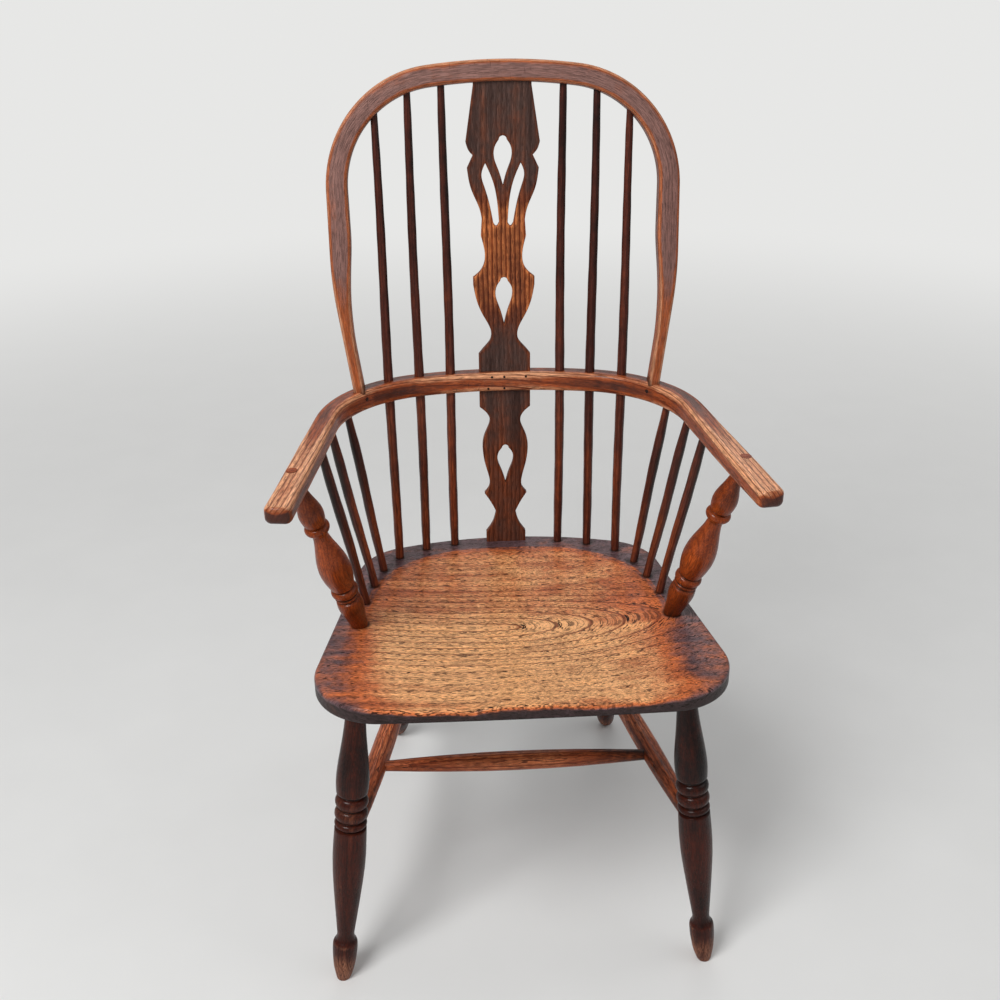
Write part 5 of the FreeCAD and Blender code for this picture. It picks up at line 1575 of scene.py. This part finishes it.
def wear_group():
    """Where the finish is worn off, where dirt lies and where the surface is scratched.

    Wear and dirt come from the piece's own values, which also hold painted sheen, highlights and shade, with
    patches of noise and the wood's streaks added. Scratches are the peaks of noise drawn out along two
    slanting lines, kept to a few patches."""
    found = bpy.data.node_groups.get("Wear and dirt")
    if found:
        return found
    tree, given, result = new_group(
        "Wear and dirt",
        {"Place": None, "Worn": 0.3, "Grime and Shade": 0.0, "Streaks": 0.5, "Patchiness": 0.6},
        ("Bare", "Dirt", "Scratches", "Dents"))
    place = given["Place"]
    patches = noise(tree, stretched(tree, place, (13.0, 13.0, 13.0)), 4.0, 0.6)
    specks = noise(tree, stretched(tree, place, (95.0, 95.0, 95.0)), 3.0, 0.6)
    patch = times(tree, maths(tree, "SUBTRACT", patches, 0.5), given["Patchiness"])
    speck = maths(tree, "SUBTRACT", specks, 0.5)
    rubbed = plus(tree, given["Worn"], patch)
    rubbed = plus(tree, rubbed, times(tree, speck, 0.28))
    streak = times(tree, maths(tree, "SUBTRACT", given["Streaks"], 0.5), 0.45)
    rubbed = plus(tree, rubbed, streak)
    bare = maths(tree, "MULTIPLY", rubbed, 1.0, clamp=True)
    dirt_and_shade = plus(tree, given["Grime and Shade"], times(tree, speck, 0.9))
    dirt_and_shade = spread(tree, dirt_and_shade, 0.28, 0.95)
    lines = []
    for turn, where in ((0.55, (40.0, 900.0, 60.0)), (-1.05, (35.0, 800.0, 60.0))):
        turned = add_node(tree, "ShaderNodeMapping", {"Vector": place, "Rotation": (0.2, 0.1, turn)})
        lines.append(spread(tree, noise(tree, stretched(tree, turned.outputs[0], where), 1.0), 0.70, 0.76))
    some = spread(tree, noise(tree, stretched(tree, place, (21.0, 21.0, 21.0)), 1.0), 0.50, 0.62)
    scratches = times(tree, maths(tree, "MAXIMUM", lines[0], lines[1]), some)
    pits = add_node(tree, "ShaderNodeTexVoronoi", {"Vector": stretched(tree, place, (240.0, 240.0, 240.0)),
                                                   "Scale": 1.0})
    dents = times(tree, spread(tree, pits.outputs["Distance"], 0.30, 0.10), some)
    for socket, value in zip(result.inputs, (bare, dirt_and_shade, scratches, dents)):
        tree.links.new(value, socket)
    return tree


# Lengths are in metres. Late wood, pores and streaks are strengths; waxed and rough are roughness
Wood = namedtuple(
    "Wood", "ring_width shift late_from wander plain_beyond pore_width pore_breadth pore_length "
    "late pores streaks patchiness waxed rough specular coat depth")
WOODS = {
    "seat": Wood(0.0128, 0.225, 0.82, 0.0036, 0.064, 0.00075, 0.0030, 0.0060,
                 0.95, 1.00, 0.45, 0.40, 0.36, 0.48, 0.18, 0.12, 0.00055),
    "arm": Wood(0.0052, 0.0, 0.64, 0.0012, 9.0, 0.0006, 0.0006, 0.014,
                1.00, 0.70, 0.30, 0.40, 0.32, 0.42, 0.18, 0.22, 0.00022),
    "bow": Wood(0.0036, 0.0, 0.70, 0.0040, 9.0, 0.0007, 0.0007, 0.012,
                0.45, 0.50, 0.35, 0.40, 0.40, 0.50, 0.14, 0.10, 0.00015),
    "stick": Wood(0.0036, 0.0, 0.45, 0.0040, 9.0, 0.0007, 0.0007, 0.012,
                  0.60, 0.50, 0.90, 0.70, 0.34, 0.42, 0.12, 0.26, 0.00014),
    "splat": Wood(0.0058, 0.0, 0.25, 0.0050, 9.0, 0.0009, 0.0009, 0.010,
                  1.00, 0.55, 0.75, 0.40, 0.42, 0.50, 0.13, 0.08, 0.00020),
    "support": Wood(0.0030, 0.0, 0.60, 0.0030, 9.0, 0.0007, 0.0007, 0.012,
                    0.50, 0.50, 0.60, 0.50, 0.30, 0.36, 0.10, 0.30, 0.00014),
    "leg": Wood(0.0045, 0.0, 0.60, 0.0040, 9.0, 0.0008, 0.0008, 0.009,
                0.60, 0.80, 0.80, 0.55, 0.28, 0.56, 0.08, 0.22, 0.00020),
    "stretcher": Wood(0.0044, 0.0, 0.50, 0.0060, 9.0, 0.0009, 0.0009, 0.012,
                      0.90, 0.85, 0.75, 0.60, 0.32, 0.44, 0.10, 0.18, 0.00020),
}
WOOD_OF_SLOT = {"peg_wood": "stick", "pin_wood": "leg", "wedge_wood": "arm"}
PORE_COLOUR = (0.022, 0.007, 0.004, 1.0)
DIRT_AND_SHADE_COLOUR = (0.013, 0.007, 0.005, 1.0)
LATE_TINT = (0.28, 0.15, 0.12, 1.0)
DARK_STREAK = (0.48, 0.36, 0.33, 1.0)
PALE_STREAK = (1.30, 1.22, 1.10, 1.0)


def wood_material(slot):
    """A slot's stained, waxed and worn wood: colour by wear and painted sheen, then rings, streaks, pores,
    and dirt with painted shade.
    """
    found = bpy.data.materials.get(slot + "_finish")
    if found:
        return found
    name = WOOD_OF_SLOT.get(slot, slot.replace("_wood", ""))
    wood = WOODS[name]
    colours = chair().colours
    dark, middle, worn = ((*getattr(colours, name + end), 1.0) for end in ("_dark", "_middle", "_worn"))
    material = bpy.data.materials.new(slot + "_finish")
    material.use_nodes = True
    tree = material.node_tree
    tree.nodes.clear()
    grain, rub, grime_and_shade = (add_node(tree, "ShaderNodeAttribute", attribute_name=key)
                         for key in ("grain", "worn", "grime_and_shade"))
    place = add_node(tree, "ShaderNodeTexCoord")
    figure = add_node(
        tree, "ShaderNodeGroup",
        {"Tree Place": grain.outputs["Vector"], "Ring Width": wood.ring_width, "Wander": wood.wander,
         "Plain Beyond": wood.plain_beyond, "Pore Width": wood.pore_width, "Pore Breadth": wood.pore_breadth,
         "Pore Length": wood.pore_length, "Shift": wood.shift, "Late From": wood.late_from},
        node_tree=figure_group())
    wear = add_node(
        tree, "ShaderNodeGroup",
        {"Place": place.outputs["Object"], "Worn": rub.outputs["Fac"], "Grime and Shade": grime_and_shade.outputs["Fac"],
         "Streaks": figure.outputs["Streaks"], "Patchiness": wood.patchiness},
        node_tree=wear_group())
    late, pores, streak, fibres = figure.outputs
    bare, dirt_and_shade, scratches, dents = wear.outputs
    # The wear mask lightens the wood and also carries painted sheen and highlights
    base = tinted(tree, spread(tree, bare, 0.08, 0.45), dark, middle)
    base = tinted(tree, spread(tree, bare, 0.42, 0.86), base, worn)
    for low, high, colour in ((0.52, 0.30, DARK_STREAK), (0.50, 0.70, PALE_STREAK)):
        factor = times(tree, spread(tree, streak, low, high), wood.streaks)
        base = tinted(tree, factor, base, colour, "MULTIPLY")
    rings = times(tree, late, spread(tree, bare, 0.10, 0.60, 0.35, 1.0))
    base = tinted(tree, times(tree, rings, wood.late), base, LATE_TINT, "MULTIPLY")
    fibre = spread(tree, fibres, 0.38, 0.62, 0.72, 1.22)
    base = add_node(tree, "ShaderNodeVectorMath", {0: base, 3: fibre}, operation="SCALE").outputs[0]
    base = tinted(tree, times(tree, pores, wood.pores), base, PORE_COLOUR)
    base = tinted(tree, times(tree, scratches, 0.55), base, PORE_COLOUR)
    # Darkening by dirt and by painted shade
    base = tinted(tree, times(tree, dirt_and_shade, 0.82), base, DIRT_AND_SHADE_COLOUR)
    gloss = spread(tree, bare, 0.2, 0.8, wood.waxed, wood.rough)
    gloss = plus(tree, gloss, times(tree, pores, 0.18))
    gloss = maths(tree, "ADD", gloss, maths(tree, "MULTIPLY", dirt_and_shade, 0.12), clamp=True)
    height = times(tree, pores, -1.0)
    height = maths(tree, "MULTIPLY_ADD", late, 0.35, height)
    height = maths(tree, "MULTIPLY_ADD", scratches, -0.9, height)
    height = maths(tree, "MULTIPLY_ADD", dents, -0.8, height)
    bump = add_node(tree, "ShaderNodeBump", {"Height": height, "Strength": 1.0, "Distance": wood.depth})
    shader = add_node(tree, "ShaderNodeBsdfPrincipled",
                      {"Base Color": base, "Roughness": gloss, "Normal": bump.outputs[0],
                       "Specular IOR Level": wood.specular, "Coat Weight": wood.coat, "Coat Roughness": 0.19})
    add_node(tree, "ShaderNodeOutputMaterial", {"Surface": shader.outputs[0]})
    return material


# Stage

FLOOR_HALF = 60.0
FADE_START = 0.7
FADE_END = 4.0
KEY_SIZE = 1.2
FILL_SIZE = 1.8


def floor_material(stage):
    """A pale matt floor with faint mottling, which the camera sees fade into the backdrop far off."""
    material = bpy.data.materials.new("pale_floor")
    material.use_nodes = True
    tree = material.node_tree
    shader = tree.nodes["Principled BSDF"]
    place = add_node(tree, "ShaderNodeTexCoord").outputs["Object"]
    mottle = noise(tree, stretched(tree, place, (7.0, 7.0, 7.0)), 3.0)
    floor = np.array(stage.floor)
    shade = tinted(tree, mottle, (*(floor * 0.97), 1.0), (*np.minimum(floor * 1.03, 1.0), 1.0))
    tree.links.new(shade, shader.inputs["Base Color"])
    shader.inputs["Roughness"].default_value = 0.85
    shader.inputs["Specular IOR Level"].default_value = 0.2
    away = add_node(tree, "ShaderNodeVectorMath", {0: place}, operation="LENGTH").outputs["Value"]
    ray = add_node(tree, "ShaderNodeLightPath")
    fade = times(tree, spread(tree, away, FADE_START, FADE_END), ray.outputs["Is Camera Ray"])
    far = add_node(tree, "ShaderNodeEmission", {"Color": (*stage.backdrop, 1.0), "Strength": 1.0})
    mixed = add_node(tree, "ShaderNodeMixShader", {0: fade, 1: shader.outputs[0], 2: far.outputs[0]})
    tree.links.new(mixed.outputs[0], tree.nodes["Material Output"].inputs["Surface"])
    return material


def add_light(name, place, size, power):
    """A square soft light that looks at the middle of the chair."""
    light = bpy.data.lights.new(name, "AREA")
    light.size = size
    light.energy = power
    lamp = bpy.data.objects.new(name, light)
    lamp.location = place
    aim = Vector((0.0, 0.0, 0.5)) - Vector(place)
    lamp.rotation_euler = aim.to_track_quat("-Z", "Y").to_euler()
    bpy.context.collection.objects.link(lamp)


def add_world(stage):
    """Even light from all round, with the pale backdrop for what the camera sees."""
    world = bpy.data.worlds.new("studio")
    world.use_nodes = True
    bpy.context.scene.world = world
    tree = world.node_tree
    tree.nodes.clear()
    light = add_node(tree, "ShaderNodeBackground", {"Color": (1.0, 1.0, 1.0, 1.0), "Strength": stage.sky})
    seen = add_node(tree, "ShaderNodeBackground", {"Color": (*stage.backdrop, 1.0), "Strength": 1.0})
    ray = add_node(tree, "ShaderNodeLightPath")
    pale = maths(tree, "MAXIMUM", ray.outputs["Is Camera Ray"], ray.outputs["Is Transmission Ray"])
    mixed = add_node(tree, "ShaderNodeMixShader", {0: pale, 1: light.outputs[0], 2: seen.outputs[0]})
    add_node(tree, "ShaderNodeOutputWorld", {"Surface": mixed.outputs[0]})


def add_camera(stage):
    """The camera from its place, pitch, yaw and roll."""
    across, ahead = math.sin(stage.yaw), math.cos(stage.yaw)
    flat = math.cos(stage.pitch)
    forward = Vector((across * flat, ahead * flat, -math.sin(stage.pitch)))
    level = Vector((ahead, -across, 0.0))
    upright = level.cross(forward)
    right = math.cos(stage.roll) * level + math.sin(stage.roll) * upright
    up = math.cos(stage.roll) * upright - math.sin(stage.roll) * level
    data = bpy.data.cameras.new("camera")
    data.lens = stage.lens
    data.sensor_width = 36.0
    camera = bpy.data.objects.new("camera", data)
    turn = Matrix((right, up, -forward)).transposed().to_4x4()
    place = (stage.camera_x, stage.camera_y + SLIDE_Y, stage.camera_z)
    camera.matrix_world = Matrix.Translation(place) @ turn
    bpy.context.collection.objects.link(camera)
    bpy.context.scene.camera = camera


def make_stage():
    """Floor, soft lights, backdrop and camera."""
    stage = chair().stage
    corners = [(x * FLOOR_HALF, y * FLOOR_HALF, 0) for x, y in ((-1, -1), (1, -1), (1, 1), (-1, 1))]
    mesh = bpy.data.meshes.new("floor")
    mesh.from_pydata(corners, [], [(0, 1, 2, 3)])
    mesh.materials.append(floor_material(stage))
    floor = bpy.data.objects.new("floor", mesh)
    bpy.context.collection.objects.link(floor)
    add_light("key_light", (-1.3, -1.5, 2.7), KEY_SIZE, stage.key)
    add_light("fill_light", (1.9, -0.4, 1.9), FILL_SIZE, stage.fill)
    add_light("light_behind", (0.3, 2.5, 2.5), FILL_SIZE, stage.behind)
    add_world(stage)
    add_camera(stage)
    bpy.context.scene.view_settings.view_transform = "Standard"


# Operators, panel and registration

class WINDSOR_OT_seat(bpy.types.Operator):
    """Build the saddled seat"""

    bl_idname = "windsor.seat"
    bl_label = "Seat"

    def execute(self, context):
        make_seat()
        return {"FINISHED"}


class WINDSOR_OT_arm_bow(bpy.types.Operator):
    """Build the bent arm bow"""

    bl_idname = "windsor.arm_bow"
    bl_label = "Arm Bow"

    def execute(self, context):
        make_arm_bow()
        return {"FINISHED"}


class WINDSOR_OT_top_bow(bpy.types.Operator):
    """Build the bent top bow"""

    bl_idname = "windsor.top_bow"
    bl_label = "Top Bow"

    def execute(self, context):
        make_top_bow()
        return {"FINISHED"}


class WINDSOR_OT_splats(bpy.types.Operator):
    """Build the two pierced splats"""

    bl_idname = "windsor.splats"
    bl_label = "Splats"

    def execute(self, context):
        make_splats()
        return {"FINISHED"}


class WINDSOR_OT_long_sticks(bpy.types.Operator):
    """Build the six long sticks of the back"""

    bl_idname = "windsor.long_sticks"
    bl_label = "Long Sticks"

    def execute(self, context):
        make_long_sticks()
        return {"FINISHED"}


class WINDSOR_OT_short_sticks(bpy.types.Operator):
    """Build the six short sticks under the arms"""

    bl_idname = "windsor.short_sticks"
    bl_label = "Short Sticks"

    def execute(self, context):
        make_short_sticks()
        return {"FINISHED"}


class WINDSOR_OT_arm_supports(bpy.types.Operator):
    """Build the two turned arm supports"""

    bl_idname = "windsor.arm_supports"
    bl_label = "Arm Supports"

    def execute(self, context):
        make_arm_supports()
        return {"FINISHED"}


class WINDSOR_OT_legs(bpy.types.Operator):
    """Build the four turned legs"""

    bl_idname = "windsor.legs"
    bl_label = "Legs"

    def execute(self, context):
        make_legs()
        return {"FINISHED"}


class WINDSOR_OT_stretchers(bpy.types.Operator):
    """Build the three stretchers"""

    bl_idname = "windsor.stretchers"
    bl_label = "Stretchers"

    def execute(self, context):
        make_stretchers()
        return {"FINISHED"}


class WINDSOR_OT_fixings(bpy.types.Operator):
    """Build the pegs, pins and wedges"""

    bl_idname = "windsor.fixings"
    bl_label = "Pegs, Pins and Wedges"

    def execute(self, context):
        make_fixings()
        return {"FINISHED"}


class WINDSOR_OT_stage(bpy.types.Operator):
    """Set up the floor, the light and the camera"""

    bl_idname = "windsor.stage"
    bl_label = "Stage"

    def execute(self, context):
        make_stage()
        return {"FINISHED"}


OPERATORS = (WINDSOR_OT_seat, WINDSOR_OT_arm_bow, WINDSOR_OT_top_bow, WINDSOR_OT_splats,
             WINDSOR_OT_long_sticks, WINDSOR_OT_short_sticks, WINDSOR_OT_arm_supports, WINDSOR_OT_legs,
             WINDSOR_OT_stretchers, WINDSOR_OT_fixings, WINDSOR_OT_stage)


class WINDSOR_PT_chair(bpy.types.Panel):
    """Lists the chair's pieces and their sizes and colours"""

    bl_idname = "WINDSOR_PT_chair"
    bl_label = "Windsor Armchair"
    bl_space_type = "VIEW_3D"
    bl_region_type = "UI"
    bl_category = "Chair"

    def draw(self, context):
        column = self.layout.column(align=True)
        for operator in OPERATORS:
            column.operator(operator.bl_idname)
        settings = context.scene.windsor
        for group in (settings.seat, settings.arm, settings.back, settings.turned, settings.colours,
                      settings.stage):
            box = self.layout.box()
            for name in group.bl_rna.properties.keys():
                if name not in ("rna_type", "name"):
                    box.prop(group, name)


CLASSES = (SeatSizes, ArmSizes, BackSizes, TurnedSizes, WoodColours, StageSettings, ChairSettings,
           *OPERATORS, WINDSOR_PT_chair)


def register():
    for kind in CLASSES:
        bpy.utils.register_class(kind)
    bpy.types.Scene.windsor = PointerProperty(type=ChairSettings)


def unregister():
    del bpy.types.Scene.windsor
    for kind in reversed(CLASSES):
        bpy.utils.unregister_class(kind)


def main():
    register()
    bpy.ops.windsor.seat()
    bpy.ops.windsor.arm_bow()
    bpy.ops.windsor.top_bow()
    bpy.ops.windsor.splats()
    bpy.ops.windsor.long_sticks()
    bpy.ops.windsor.short_sticks()
    bpy.ops.windsor.arm_supports()
    bpy.ops.windsor.legs()
    bpy.ops.windsor.stretchers()
    bpy.ops.windsor.fixings()
    bpy.ops.windsor.stage()


if __name__ == "__main__":
    main()
